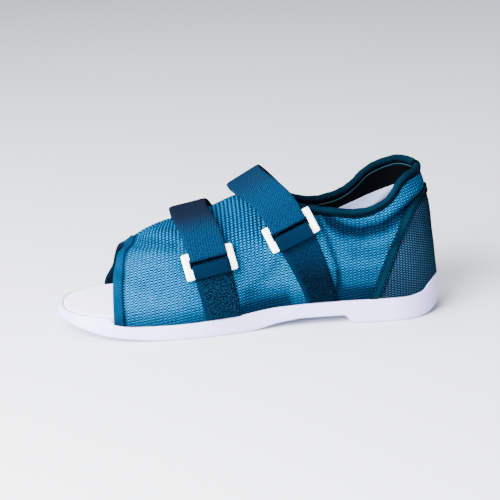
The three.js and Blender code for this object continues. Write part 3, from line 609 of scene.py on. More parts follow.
@dataclass(frozen=True)
class WebbingFinish:
    """Deep blue webbing: fine twill with firm edges."""

    name: str = "webbing"
    light: Colour = srgb("08375a")
    middle: Colour = srgb("021b2f")
    dark: Colour = srgb("000610")
    # Colour of the painted dark reflection on the strap's crown.
    crown: Colour = srgb("090d18")

    def material(self) -> bpy.types.Material:
        """Twill: two slanting waves whose product gives short floats; a painted dark reflection on the crown.
        """
        s = Shader(self.name, 0.75, Specular_IOR_Level=0.01)
        across, along, vector = s.fabric()
        slant = s.math("DIVIDE", along, 2.6)
        floats = s.wave(across, 1.15, slant)
        rows = s.wave(along, 1.3)
        weave = s.math("MULTIPLY_ADD", floats, 0.6, s.math("MULTIPLY", rows, 0.3))
        raised = s.math("MULTIPLY_ADD", weave, 0.8, -0.25)
        height = s.math("MULTIPLY_ADD", s.noise(vector, 0.9, 4.0), 1.0, raised)
        colour = s.blend(s.span(height, 0.2, 0.6), self.dark, self.middle)
        colour = s.blend(s.span(height, 0.6, 1.1, 0.0, 0.8), colour, self.light)
        # Painted dark reflection on the crown, by the crown value.
        colour = s.blend(s.math("MULTIPLY", s.value("crown"), 0.9), colour, self.crown)
        colour = s.tinted(s.value("shade"), colour, (0.5, 0.2, 0.2))
        return s.finish(colour, s.bump(height, 0.3))


@dataclass(frozen=True)
class PileFinish:
    """Near-black loop pile, with blue lint and a bare webbing edge."""

    name: str = "loop pile"
    light: Colour = srgb("2b6f9c")
    dark: Colour = srgb("010306")
    edge: Colour = srgb("011527")
    upper_light: Colour = srgb("052a48")
    upper_dark: Colour = srgb("010c18")

    def material(self) -> bpy.types.Material:
        """Tangled speckle at two sizes, bluer towards the ring."""
        s = Shader(self.name, 0.95, Specular_IOR_Level=0.0)
        across, _, vector = s.fabric()
        coarse, fine = s.noise(vector, 1.0, 4.0), s.noise(vector, 2.4, 3.0)
        height = s.math("MULTIPLY_ADD", fine, 0.5, s.math("MULTIPLY", coarse, 0.6))
        colour = s.blend(s.span(height, 0.52, 0.78), self.dark, self.light)
        parts = s.node("SeparateXYZ")
        s.put(parts.inputs[0], s.place())
        upper = s.blend(s.span(height, 0.4, 0.75), self.upper_dark, self.upper_light)
        colour = s.blend(s.span(parts.outputs[2], 0.034, 0.066, 0.0, 0.8), colour, upper)
        ragged = s.math("MULTIPLY_ADD", s.noise(vector, 0.35, 3.0), 6.0, across)
        colour = s.blend(s.span(ragged, 11.8, 13.6, 0.0, 0.8), colour, self.edge)
        return s.finish(colour, s.bump(height, 0.6))


@dataclass(frozen=True)
class FoamFinish:
    """Moulded foam rubber: smooth, with a faint pebble and a soft clouding of two colours."""

    name: str
    colour: Colour
    shade: Colour
    roughness: float
    grain: float = 0.05

    def material(self) -> bpy.types.Material:
        """Two colours clouded together, a fine pebble and a broad unevenness."""
        s = Shader(self.name, self.roughness, Subsurface_Weight=0.08, Subsurface_Scale=0.004)
        place = s.place()
        cloud = s.span(s.noise(place, 30.0, 4.0), 0.35, 0.75)
        pebble = s.noise(place, 1500.0, 2.0)
        uneven = s.bump(s.noise(place, 90.0, 2.0), 0.12)
        rough = s.span(s.noise(place, 140.0, 3.0), 0.3, 0.7, self.roughness - 0.08, self.roughness + 0.08)
        return s.finish(s.blend(cloud, self.colour, self.shade), s.bump(pebble, self.grain, uneven), rough)


@dataclass(frozen=True)
class PlasticFinish:
    """White moulded plastic."""

    name: str = "white plastic"
    colour: Colour = srgb("fcfdfe")
    shade: Colour = srgb("f3f5f9")

    def material(self) -> bpy.types.Material:
        """Faintly clouded white under a soft gloss."""
        gloss = dict(Coat_Weight=0.15, Coat_Roughness=0.25)
        s = Shader(self.name, 0.34, Subsurface_Weight=0.1, Subsurface_Scale=0.002, **gloss)
        cloud = s.noise(s.place(), 320.0, 3.0)
        return s.finish(s.blend(s.span(cloud, 0.4, 0.8), self.colour, self.shade), s.bump(cloud, 0.03))


@dataclass(frozen=True)
class ClothFinish:
    """Plain fine cloth: the blank lining patch and sewing threads."""

    name: str
    colour: Colour
    shade: Colour
    scale: float = 1300.0

    def material(self) -> bpy.types.Material:
        """Fine thread noise between two close colours."""
        s = Shader(self.name, 0.85, Specular_IOR_Level=0.05)
        threads = s.noise(s.place(), self.scale, 2.0)
        return s.finish(s.blend(s.span(threads, 0.35, 0.7), self.shade, self.colour), s.bump(threads, 0.12))


# The last: outline, sole heights and the upper's form


@dataclass(frozen=True)
class Last:
    """Form that every piece follows, with the same formulas and sizes as the CAD, in millimetres."""

    length: float = 262.0
    heel_back: float = 36.0
    ball_width: float = 94.2
    heel_width: float = 70.0
    heel_round: float = 36.0
    toe_round: float = 56.0
    toe_spring: float = 13.0
    arch_rise: float = 6.0
    side_rise: float = 16.5
    cup_rise: float = 9.5
    bed_rise: float = 20.8
    lip: float = 0.9
    gap: float = 0.3
    wall: float = 2.2
    collar_height: float = 98.0
    instep_height: float = 88.0
    collar_back: float = 24.5
    collar_back_round: float = 24.0
    throat_at: float = 0.458 * 262.0
    throat_round: float = 34.0
    collar_half_near: float = 30.5
    collar_half_far: float = 29.5
    toe_edge_at: float = 0.855 * 262.0
    toe_edge_lean: float = 12.0
    lean_run: float = 68.0
    toe_edge_far: float = 5.7
    lean_bend_near: float = 3.0
    lean_bend_far: float = 1.6
    turn_back_up: float = 0.05
    turn_back_run: float = 0.25
    heel_squareness: float = 2.2
    toe_squareness: float = 2.34

    OUTLINE = Table(
        (0.0, 0.15, 0.29, 0.42, 0.57, 0.72, 0.82, 1.0),
        heel=(0.472, 0.5, 0.493, 0.502, 0, 0, 0, 0),
        ball=(0, 0, 0, 0, 0.452, 0.5, 0.493, 0.466),
    )
    UNDERSIDE = Table(
        (0.0, 0.038, 0.076, 0.237, 0.263, 0.363, 0.428, 0.489, 0.52, 0.706, 0.763, 0.859, 0.954, 1.0),
        arch=(0.66, 0.17, 0, 0, 1, 1, 0.67, 0.13, 0, 0, 0, 0, 0, 0),
        spring=(0, 0, 0, 0, 0, 0, 0, 0, 0, 0, 0.06, 0.27, 0.72, 1),
    )
    SIDE_TOP = Table(
        (0.0, 0.03, 0.055, 0.1, 0.3, 0.42, 0.57, 0.72, 0.81, 0.86, 0.95, 1.0),
        side=(1, 1, 1, 1, 0.99, 0.925, 0.71, 0.645, 0.66, 0.765, 0.79, 0.91),
        cup=(1, 0.68, 0.16, 0, 0, 0, 0, 0, 0, 0, 0, 0),
        bed=(1, 1, 1, 1, 0.99, 0.92, 0.79, 0.75, 0.79, 0.815, 0.835, 0.845),
    )
    RIDGE = Table(
        (0.42, 0.458, 0.48, 0.51, 0.542, 0.572, 0.603, 0.641, 0.679, 0.71, 0.74, 0.771, 0.81, 0.86),
        height=(0.982, 0.995, 0.998, 0.98, 0.95, 0.91, 0.868, 0.842, 0.814, 0.788, 0.754, 0.708, 0.646, 0.61),
    )
    COLLAR = Table(
        (0.061, 0.084, 0.103, 0.118, 0.137, 0.168, 0.198, 0.229, 0.263, 0.309, 0.355, 0.4, 0.437, 0.458),
        near=(1.0, 0.99, 0.955, 0.898, 0.838, 0.786, 0.762, 0.755, 0.767, 0.785, 0.806, 0.842, 0.878, 0.893),
        far=(1.0, 0.993, 0.978, 0.967, 0.949, 0.903, 0.827, 0.771, 0.737, 0.719, 0.737, 0.796, 0.868, 0.893),
    )
    RIBS = Table(
        (0.0, 0.137, 0.275, 0.382, 0.458, 0.573, 0.725, 0.855),
        out=(0.16, -0.2, -0.15, 0, 0.01, 0, -0.02, -0.02),
        rise=(0.42, 0.35, 0.38, 0.46, 0.54, 0.56, 0.58, 0.56),
        reach=(0.52, 0.5, 0.45, 0.4, 0.56, 0.57, 0.56, 0.49),
        drop=(0.17, 0.22, 0.26, 0.18, 0, 0, 0, 0),
    )

    def underside(self, s: Array) -> Array:
        """Height of the sole's underside: the arch step and the toe spring."""
        at = s / self.length
        return self.arch_rise * self.UNDERSIDE("arch", at) + self.toe_spring * self.UNDERSIDE("spring", at)

    def side_top(self, s: Array) -> Array:
        """Height of the top of the sole's side wall, with the heel cup."""
        at = s / self.length
        return self.side_rise * self.SIDE_TOP("side", at) + self.cup_rise * self.SIDE_TOP("cup", at)

    def bed_top(self, s: Array) -> Array:
        """Height of the footbed's rim."""
        return self.bed_rise * self.SIDE_TOP("bed", s / self.length)

    def outline(self, place: Array) -> tuple[Array, Array, Array]:
        """Outline of the sole: half width times a superellipse's taper round heel and toe.

        Args:
            place: 0 to 1 round the heel, 1 to 2 along the side and 2 to 3 round the toe. Below 0
                and above 3 it carries on along the other side.

        Returns:
            Distance from the back of the heel, x and y.
        """
        place = np.asarray(place, float)
        sign = np.where((place < 0) | (place > 3), -1.0, 1.0)
        p = np.where(place > 3, 6 - place, np.abs(place))
        heel = (math.pi / 2) * np.clip(1 - p, 0, 1)
        toe = (math.pi / 2) * np.clip(p - 2, 0, 1)
        side = self.length - self.heel_round - self.toe_round
        s = self.heel_round + side * (p - 1)
        s = np.where(p < 1, self.heel_round * (1 - np.sin(heel) ** (2 / self.heel_squareness)), s)
        s = np.where(p > 2, self.length - self.toe_round * (1 - np.sin(toe) ** (2 / self.toe_squareness)), s)
        taper = np.cos(heel) ** (2 / self.heel_squareness)
        taper = taper * np.maximum(np.cos(toe), 0) ** (2 / self.toe_squareness)
        at = s / self.length
        half = self.heel_width * self.OUTLINE("heel", at) + self.ball_width * self.OUTLINE("ball", at)
        return s, s - self.heel_back, sign * half * taper

    def place_of(self, s: Array) -> Array:
        """Place on the outline for a distance from the back of the heel."""
        toe_start = self.length - self.toe_round
        heel_share = np.clip(1 - s / self.heel_round, 0, 1) ** (self.heel_squareness / 2)
        toe_share = np.clip((s - toe_start) / self.toe_round, 0, 1) ** (self.toe_squareness / 2)
        along = 1 + (s - self.heel_round) / (toe_start - self.heel_round)
        heel = 1 - np.arcsin(heel_share) / (math.pi / 2)
        toe = 2 + np.arcsin(toe_share) / (math.pi / 2)
        return np.where(s < self.heel_round, heel, np.where(s > toe_start, toe, along))

    def inset(self, place: Array, amount: Array) -> tuple[Array, Array, Array]:
        """Outline moved inwards, square to itself: distance from the heel, x and y."""
        step = 0.004
        s, x, y = self.outline(place)
        _, x0, y0 = self.outline(place - step)
        _, x1, y1 = self.outline(place + step)
        across = unit(np.stack([y1 - y0, x0 - x1], axis=-1))
        return s, x + across[..., 0] * amount, y + across[..., 1] * amount

    def collar_edge(self, place: Array, side: Array) -> Array:
        """Edge of the collar: a superellipse at the back and half an ellipse at the throat."""
        half = np.where(side > 0, self.collar_half_near, self.collar_half_far)
        back_start = self.collar_back_round - self.collar_back
        turn = (math.pi / 2) * np.clip(1 - place, 0, 1)
        back_x = back_start - self.collar_back_round * np.sin(turn) ** (2 / self.heel_squareness)
        back_y = half * np.cos(turn) ** (2 / self.heel_squareness)
        s, _, _ = self.outline(place)
        fade = np.clip(1 - (s - self.heel_round) / self.collar_back_round, 0, 1)
        side_x = s - self.heel_back + (back_start + self.heel_back - self.heel_round) * fade**2
        front = np.maximum((s - (self.throat_at - self.throat_round)) / self.throat_round, 0)
        side_y = half * np.sqrt(np.maximum(1 - front * front, 0))
        x = np.where(place < 1, back_x, side_x)
        y = np.where(place < 1, back_y, side_y)
        at = (x + self.heel_back) / self.length
        height = np.where(side > 0, self.COLLAR("near", at), self.COLLAR("far", at))
        return np.stack([x, side * y, self.collar_height * height], axis=-1)

    def on_ridge(self, s: Array) -> Array:
        """Whether a rib meets its mirror image on the ridge."""
        return s > self.throat_at - 1e-6

    def upper_point(self, side: Array, place: Array, along: Array) -> Array:
        """Outer face of the upper: one Bezier rib from the sole to the collar or the ridge.

        Args:
            side: 1 on the near side and -1 on the far side.
            place: Place on the outline.
            along: 0 at the sole to 1 at the rib's end.

        Returns:
            Points, in the arguments' common shape by 3.
        """
        side, place, along = np.broadcast_arrays(side, place, along)
        s, x, _ = self.inset(place, self.lip)
        fade = ease((s - self.toe_edge_at + self.lean_run) / self.lean_run)
        far = side < 0
        ahead = np.where(far & (fade > 0), self.place_of(s + self.toe_edge_far * fade), place)
        foot_s, foot_x, foot_y = self.inset(ahead, self.lip)
        start = np.stack([foot_x, side * foot_y, self.side_top(foot_s) + self.gap], axis=-1)
        lean = self.toe_edge_lean * fade
        ridge_z = self.instep_height * self.RIDGE("height", (x - lean + self.heel_back) / self.length)
        ridge = np.stack([foot_x, np.zeros_like(x), ridge_z], axis=-1)
        end = np.where(self.on_ridge(s)[..., None], ridge, self.collar_edge(place, side))
        at = s / self.length
        out, rise = self.RIBS("out", at)[..., None], self.RIBS("rise", at)
        reach, drop = self.RIBS("reach", at)[..., None], self.RIBS("drop", at)
        height = end[..., 2] - start[..., 2]
        low = mix(start, end, out)
        low[..., 2] = start[..., 2] + height * rise
        high = mix(end, start, reach)
        high[..., 2] = end[..., 2] - height * drop
        t = along[..., None]
        point = cubic(start, low, high, end, t)
        point[..., 0] -= (foot_x - x) * ease((along - self.turn_back_up) / self.turn_back_run)
        point[..., 0] -= lean * along ** np.where(far, self.lean_bend_far, self.lean_bend_near)
        return point

    def _half_normal(self, side: Array, place: Array, along: Array) -> Array:
        """Cross product of the steps up a rib and along the outline."""
        step = 0.004
        low, high = np.maximum(along - step, 0), np.minimum(along + step, 1)
        up = self.upper_point(side, place, high) - self.upper_point(side, place, low)
        before = place - step
        back = self.upper_point(np.where(before < 0, -side, side), np.abs(before), along)
        forward = self.upper_point(side, place + step, along) - back
        return unit(np.cross(up, forward) * side[..., None])

    def upper_normal(self, side: Array, place: Array, along: Array) -> Array:
        """Outward direction of the upper, shared by both halves on the ridge."""
        side, place, along = (np.asarray(v, float) for v in np.broadcast_arrays(side, place, along))
        normal = self._half_normal(side, place, along)
        s, _, _ = self.outline(place)
        shared = normal + self._half_normal(-side, place, along)
        shared[..., 1] = 0
        ridge = (along == 1) & self.on_ridge(s)
        return np.where(ridge[..., None], unit(shared), normal)

    def along_at(self, side: Array, place: Array, height: Array) -> Array:
        """Share of a rib at which it reaches a height, by halving 24 times."""
        side, place, height = np.broadcast_arrays(side, place, height)
        low, high = np.zeros(place.shape), np.ones(place.shape)
        for _ in range(24):
            middle = (low + high) / 2
            under = self.upper_point(side, place, middle)[..., 2] < height
            low, high = np.where(under, middle, low), np.where(under, high, middle)
        return (low + high) / 2

    def wall_place(self, side: float, x: Array, height: Array) -> tuple[Array, Array]:
        """Place and share of the rib for a given x and height on one wall."""
        s = x + self.heel_back
        along = self.along_at(side, self.place_of(s), height)
        for _ in range(6):
            s = s + x - self.upper_point(side, self.place_of(s), along)[..., 0]
            along = self.along_at(side, self.place_of(s), height)
        return self.place_of(s), along

    def arc_table(self) -> tuple[Array, Array]:
        """Places on the outline and the length of the outline up to each."""
        places = np.linspace(0, 3, 3001)
        _, x, y = self.outline(places)
        return places, lengths_along(np.stack([x, y], axis=-1), 0)

    def place_by_arc(self, arc: Array) -> Array:
        """Place on the outline for a length along it from the back of the heel."""
        places, arcs = self.arc_table()
        return np.interp(arc, arcs, places)

    def arc_of(self, place: Array) -> Array:
        """Length along the outline up to a place."""
        places, arcs = self.arc_table()
        return np.interp(place, places, arcs)


@dataclass(frozen=True)
class Crease:
    """Soft trough (or ridge) in the upper along a path in the side view, with the painted shade of its
    trough.
    """

    side: Side
    path: tuple[tuple[float, float], ...]
    depth: float
    width: float
    # Strength of the painted shade along the crease.
    painted_crease_shade: float = 0.0


CREASES = (
    Crease(
        Side.NEAR,
        ((44, 77), (40, 71), (31, 65), (20, 62.5), (5, 65), (-7, 72.5), (-19, 80), (-27, 83)),
        2.9, 3.6, 1.0,
    ),
    Crease(Side.NEAR, ((38, 78), (30, 72), (18, 69.5), (4, 72.5), (-8, 80), (-20, 88)), -0.9, 2.4),
    Crease(Side.NEAR, ((44, 64), (30, 57), (14, 55.5), (0, 58), (-12, 66)), -1.2, 4.0),
    Crease(Side.NEAR, ((48, 76), (42, 60), (36, 42), (35, 19)), 1.5, 1.6, 0.5),
    Crease(Side.NEAR, ((53, 74), (47, 58), (42, 42)), -0.9, 3.5),
    Crease(Side.NEAR, ((24, 49), (8, 48), (-8, 54)), 0.8, 3.4, 0.25),
    Crease(Side.NEAR, ((183, 57), (172, 60.5), (158, 61), (144, 60)), 2.2, 2.3, 0.5),
    Crease(Side.NEAR, ((178, 64.5), (160, 66.5), (146, 66)), -0.8, 2.2),
    Crease(Side.NEAR, ((186, 50), (178, 43), (166, 38)), 0.9, 3.2, 0.2),
    Crease(Side.NEAR, ((76, 46), (84, 36), (96, 28)), 1.0, 3.4, 0.3),
    Crease(Side.FAR, ((52, 64), (38, 57), (20, 58), (4, 66), (-10, 78), (-27, 83)), 2.0, 3.6, 0.6),
    Crease(Side.FAR, ((44, 70), (39, 50), (35, 22)), 1.2, 1.7, 0.4),
    Crease(Side.FAR, ((180, 54), (164, 58), (148, 57)), 1.5, 2.5, 0.4),
)


@dataclass(frozen=True)
class Upper:
    """Mesh upper with its black lining, patch and seams."""

    last: Last
    # Lines behind the ring windows, where painted shadow darkens the mesh.
    slots: tuple[tuple[tuple[float, float], tuple[float, float]], ...]
    column_pitch: float = 0.5
    rows: int = 78
    wale: float = 2.7
    lining_depth: float = 1.0
    edge_under_binding: float = 4.0
    course_slope: float = 0.15

    def relief(self, side: Array, point: Array) -> Array:
        """Height of the creases and the cloth's unevenness over the plain form."""
        x, z = point[..., 0], point[..., 2]
        height = 0.35 * ripple(point, 38.0, 5) + 0.15 * ripple(point, 15.0, 8)
        off_ridge = ease(np.abs(point[..., 1]) / 9)
        for crease in CREASES:
            here = (side == crease.side.value) * off_ridge
            height = height - here * crease.depth * bell(path_distance(x, z, crease.path), crease.width)
        at_rims = ease((z - 20) / 8)
        return np.clip(height * at_rims, -3.4, 1.3)

    def painted_crease_shade(self, side: Array, point: Array) -> Array:
        """Painted shade of the creases, 0 to 1, a little broader than their troughs."""
        tone = np.zeros(side.shape)
        for crease in CREASES:
            here = (side == crease.side.value) * crease.painted_crease_shade * ease(np.abs(point[..., 1]) / 9)
            away = path_distance(point[..., 0], point[..., 2], crease.path)
            tone = np.maximum(tone, here * bell(away, 1.25 * crease.width))
        return tone

    def skin(self, side: Array, place: Array, along: Array, offset: Array) -> Array:
        """Upper's form with its creases, moved outwards by an offset."""
        point = self.last.upper_point(side, place, along)
        normal = self.last.upper_normal(side, place, along)
        return point + normal * (self.relief(side, point) + offset)[..., None]

    def coordinates(self, pitch: float, rows: int) -> tuple[Array, Array, Array, Array]:
        """Grid over the whole upper, from the near side of the toe round the heel to the far side.

        Args:
            pitch: Distance between columns, along the sole.
            rows: Number of steps up a rib.

        Returns:
            Side, place, share of the rib, and length along the sole from the back of the heel.
        """
        end = self.last.arc_of(self.last.place_of(np.array(self.last.toe_edge_at - self.edge_under_binding)))
        count = int(end / pitch)
        half = np.linspace(0, float(end), count + 1)
        arc = np.concatenate([half[::-1], -half[1:]])
        side = np.concatenate([np.ones(count + 1), -np.ones(count)])
        place = self.last.place_by_arc(np.abs(arc))
        along = np.linspace(0, 1, rows + 1)
        shape = (len(arc), rows + 1)
        return (
            np.broadcast_to(side[:, None], shape),
            np.broadcast_to(place[:, None], shape),
            np.broadcast_to(along[None], shape),
            np.broadcast_to(arc[:, None], shape),
        )

    def build_mesh(self) -> None:
        """Outer sheet: form, creases and wales.

        A wale is cos(2 pi arc / wale), scaled up towards the top of the vamp.
        """
        side, place, along, arc = self.coordinates(self.column_pitch, self.rows)
        plain = self.skin(side, place, along, np.zeros(side.shape))
        up = lengths_along(plain, 1)
        foot = plain[:, :1, 2] + self.course_slope * plain[:, :1, 0]
        strength = mix(0.03, 0.16, ease((plain[..., 2] - 48) / 22) * ease((plain[..., 0] - 60) / 30))
        wales = strength * (np.cos(2 * math.pi * arc / self.wale) - 0.85)
        grid = self.skin(side, place, along, wales)
        behind = self.behind_tape(plain, arc)
        # Painted shade, kept as the shade value: darker near the sole, in the crease troughs, in a groove
        # along the toe binding, towards the back of the counter, in the painted shade zones and behind the
        # ring windows.
        ends = arc.max() - 3.6 - np.abs(arc)
        low = 0.72 * ease(1 - (up - 1) / 14) + self.painted_crease_shade(side, plain) + 0.7 * bell(ends, 0.9)
        back = ease(1 - np.abs(arc) / 22) * ease((plain[..., 2] - 25) / 25)
        low = (low + self.painted_shade_zones(plain)) * (1 - 0.8 * behind) + 0.6 * behind * back
        # Painted shadow behind each ring's window.
        for slot in self.slots:
            low = low + (side > 0) * bell(path_distance(plain[..., 0], plain[..., 2], slot), 5.5)
        rise = ease((plain[..., 2] - 38) / 30) * (0.45 + 0.55 * ease((plain[..., 0] - 45) / 30))
        sheet = Surface(
            grid.reshape(-1, 3),
            grid_quads(*grid.shape[:2]),
            fabric=np.stack([arc, up + foot], axis=-1).reshape(-1, 2),
            values={
                "shade": np.clip(low, 0, 1).reshape(-1),
                "counter": behind.reshape(-1),
                "rise": rise.reshape(-1),
            },
        )
        normals = self.last.upper_normal(side, place, along)
        sheet.facing(normals.reshape(-1, 3))
        add_piece("upper_mesh", sheet, KnitFinish().material(), ["upper"])

    def painted_shade_zones(self, point: Array) -> Array:
        """Painted shade low on the quarter, between the tabs and on top of the vamp."""
        x, z = point[..., 0], point[..., 2]
        low_band = ease((x + 14) / 12) * ease((47 - x) / 8) * ease((42 - z) / 7)
        quarter = 0.22 * ease((50 - x) / 12) + 0.36 * low_band
        waist = 0.45 * ease((x - 66) / 6) * ease((106 - x) / 6) * ease((33 - z) / 6)
        vamp = 0.4 * ease((x - 60) / 12) * ease((z - 58) / 14)
        return quarter + waist + vamp

    def behind_tape(self, point: Array, arc: Array) -> Array:
        """1 on the heel counter, behind the middle of the tape, and 0 in front of it."""
        heights = (17, 23, 40, 55, 69, 80.5, 86)
        line = np.interp(point[..., 2], heights, (68.5, 65.5, 59, 52.3, 43.9, 27.8, -4))
        return ease((line - np.abs(arc)) / 2.5)

    def build_lining(self) -> None:
        """Lining: a closed shell from just under the mesh to the inner face of the wall."""
        side, place, along, arc = self.coordinates(1.6, 44)
        outer = self.skin(side, place, along, np.full(side.shape, -self.lining_depth))
        inner = self.skin(side, place, along, np.full(side.shape, -self.last.wall))
        up = lengths_along(outer, 1)
        surface = shell(outer, inner, np.stack([arc, up], axis=-1))
        piece = add_piece("upper_lining", surface, LiningFinish().material(), ["upper"])
        piece.data.validate()

    def build_patch(self) -> None:
        """Blank white patch sewn to the inside of the far wall."""
        u, v = np.meshgrid(np.linspace(0, 1, 60), np.linspace(0, 1, 24), indexing="ij")
        x = mix(-13, 29, u)
        top = mix(81.0, 65.0, u)
        z = mix(top - 17 * np.sqrt(np.clip(1 - (2 * u - 1) ** 2, 0, 1)) - 0.5, top, v)
        place, along = self.last.wall_place(-1.0, x, z)
        side = np.full(x.shape, -1.0)
        outer = self.skin(side, place, along, np.full(x.shape, -self.last.wall - 0.15))
        inner = self.skin(side, place, along, np.full(x.shape, -self.last.wall - 0.7))
        surface = shell(outer, inner, np.stack([x, z], axis=-1))
        finish = ClothFinish("white patch cloth", srgb("8b93b0"), srgb("7c86a6"))
        add_piece("lining_patch", surface, finish.material())

    def build(self) -> None:
        """Builds all of the upper's own pieces."""
        self.build_mesh()
        self.build_lining()
        self.build_patch()


@dataclass(frozen=True)
class Sole:
    """Foam outsole and insole."""

    last: Last
    bottom_round: float = 1.8
    pocket_depth: float = 3.6
    pocket_rim: float = 2.0
    toe_rim: float = 4.6
    ledge_run: float = 1.4
    insole_thickness: float = 3.6
    insole_round: float = 0.9
    binding_swell: float = 0.8
    pitch: float = 1.6

    @property
    def ledge(self) -> float:
        """Width of the ledge that the upper stands on."""
        return self.last.lip + self.last.wall + self.binding_swell + self.last.gap

    def places(self) -> Array:
        """Even stations right round the outline, mirrored about its middle."""
        total = float(self.last.arc_of(np.array(3.0)))
        near = self.last.place_by_arc(np.linspace(0, total, int(total / self.pitch) + 1))
        near[-1] = 3.0
        return np.concatenate([near, 6 - near[1:-1][::-1]])

    def worn(self, places: Array) -> Array:
        """1 where the upper stands on the sole and 0 round the open toe."""
        s, _, _ = self.last.outline(places)
        edge = self.last.toe_edge_at + np.where(places > 3, self.last.toe_edge_far, 0)
        return 1 - ease((s - edge - self.last.gap) / self.ledge_run)

    @staticmethod
    def rounded(levels: Array, rounds: int = 2) -> Array:
        """Corners of each profile cut at a quarter of both stretches, twice over."""
        for _ in range(rounds):
            a, b = levels[:-1], levels[1:]
            cut = np.stack([0.75 * a + 0.25 * b, 0.25 * a + 0.75 * b], axis=1)
            levels = np.concatenate([levels[:1], cut.reshape(-1, *levels.shape[1:]), levels[-1:]])
        return levels

    def stacked(self, levels: Array, places: Array) -> Surface:
        """Closed body through insets and heights round the outline.

        Args:
            levels: Levels by stations by 2: inset from the outline and height.
            places: Stations on the outline.

        Returns:
            Body whose ends are closed by strips across.
        """
        rings = []
        for level in levels:
            _, x, y = self.last.inset(places, level[:, 0])
            rings.append(np.stack([x, y, level[:, 1]], axis=-1))
        grid = np.stack(rings)
        rows, count = grid.shape[:2]
        quads = [grid_quads(rows, count, wrap_columns=True)]
        k = np.arange(count // 2)
        strip = np.stack([k, (count - k) % count, (count - k - 1) % count, k + 1], axis=1)
        quads += [strip[:, ::-1], strip + (rows - 1) * count]
        fabric = grid[..., :2].reshape(-1, 2)
        return Surface(grid.reshape(-1, 3), np.concatenate(quads), fabric=fabric).outward()

    def build_outsole(self) -> None:
        """Profile from the underside up the side wall, over the ledge and down into the recess."""
        places = self.places()
        s, _, _ = self.last.outline(places)
        bottom, side, bed = self.last.underside(s), self.last.side_top(s), self.last.bed_top(s)
        worn = self.worn(places)
        ledge, rim, edge = self.ledge, self.toe_rim, self.bottom_round
        flat = np.ones_like(s)
        rows = [
            (mix(rim, ledge + self.pocket_rim, worn), bottom),
            (1.6 * edge * flat, bottom),
            (0.7 * edge * flat, bottom),
            (0.1 * edge * flat, mix(bottom, side, 0.1)),
            (0.0 * flat, mix(bottom, side, 0.35)),
            (0.0 * flat, mix(bottom, side, 0.7)),
            (0.02 * edge * flat, side - mix(2.4, 1.2, worn)),
            (mix(0.1 * rim, 0.18, worn), side - mix(0.3, 0.0, worn)),
            (mix(0.25 * rim, 0.95, worn), mix(mix(side, bed, 0.6), side, worn)),
            (mix(0.45 * rim, ledge, worn), mix(mix(side, bed, 0.9), side, worn)),
            (mix(0.6 * rim, ledge, worn), mix(bed, bed - self.insole_round, worn)),
            (mix(0.85 * rim, ledge + self.insole_round, worn), bed),
            (mix(rim, ledge + self.pocket_rim, worn), bed),
            (mix(rim, ledge + self.pocket_rim, worn), bed - self.pocket_depth),
            (mix(rim, ledge + self.pocket_rim, worn) + 1.0, bed - self.pocket_depth),
        ]
        levels = np.stack([np.stack(np.broadcast_arrays(*row), axis=-1) for row in rows])
        body = self.stacked(self.rounded(levels), places)
        finish = FoamFinish("sole foam", srgb("bab9e2"), srgb("adacd8"), 0.55)
        add_piece("outsole_body", body, finish.material(), ["outsole"])

    def build_insole(self) -> None:
        """Flat insole with a rounded top edge."""
        places = self.places()
        s, _, _ = self.last.outline(places)
        rim = mix(self.toe_rim, self.ledge + self.pocket_rim, self.worn(places)) + self.last.gap
        floor = self.last.bed_top(s) - self.pocket_depth + self.last.gap
        top = floor + self.insole_thickness
        cut = self.insole_round
        rows = [
            (rim + 1.5, floor),
            (rim, floor),
            (rim, top - 1.2 * cut),
            (rim + 0.15 * cut, top - 0.2 * cut),
            (rim + 1.2 * cut, top),
            (rim + 4 * cut, top + 0.05),
        ]
        levels = np.stack([np.stack(row, axis=-1) for row in rows])
        body = self.stacked(self.rounded(levels), places)
        finish = FoamFinish("insole cloth", srgb("e9ebfb"), srgb("dfe1f6"), 0.72, 0.12)
        add_piece("insole_body", body, finish.material(), ["insole"])

    def build(self) -> None:
        """Builds outsole and insole."""
        self.build_outsole()
        self.build_insole()


def stitch_row(path: Array, normals: Array, pitch: float, length: float, width: float) -> Surface:
    """Row of stitches: one small spindle of six sides per pitch along a path.

    Args:
        path: Points of the seam.
        normals: Outward directions there.
        pitch: Distance between stitches.
        length: Length of a stitch.
        width: Its width; it stands half as high.

    Returns:
        All the stitches as one surface.
    """
    run = lengths_along(path, 0)
    middles = np.arange(pitch / 2, run[-1], pitch)

    def at(values: Array, where: Array) -> Array:
        return np.stack([np.interp(where, run, values[:, k]) for k in range(3)], axis=-1)

    centre, out = at(path, middles), unit(at(normals, middles))
    forward = unit(at(path, middles + 0.4 * pitch) - at(path, middles - 0.4 * pitch))
    across = unit(np.cross(out, forward))
    turn = np.linspace(0, 2 * math.pi, 6, endpoint=False)
    stations = [(-0.46, 0.55, 0.0), (-0.2, 1.0, 0.25), (0.2, 1.0, 0.25), (0.46, 0.55, 0.0)]
    rings = []
    for shift, size, lift in stations:
        ring = centre[:, None] + forward[:, None] * (shift * length)
        ring = ring + across[:, None] * (np.cos(turn) * size * width / 2)[None, :, None]
        ring = ring + out[:, None] * ((np.sin(turn) * size + lift) * width / 2)[None, :, None]
        rings.append(ring)
    rings = np.stack(rings, axis=1)
    tips = [centre + forward * (k * length) - out * (0.35 * width) for k in (-0.55, 0.55)]
    points = np.concatenate([rings.reshape(len(centre), -1, 3), np.stack(tips, axis=1)], axis=1)
    quads = grid_quads(4, 6, wrap_columns=True)
    here, after = np.arange(6), np.roll(np.arange(6), -1)
    fans = [np.stack([np.full(6, 24), here, after], 1), np.stack([np.full(6, 25), after + 18, here + 18], 1)]
    starts = (np.arange(len(centre)) * points.shape[1])[:, None, None]
    surface = Surface(
        points.reshape(-1, 3),
        (quads[None] + starts).reshape(-1, 4),
        (np.concatenate(fans)[None] + starts).reshape(-1, 3),
    )
    return surface.outward()


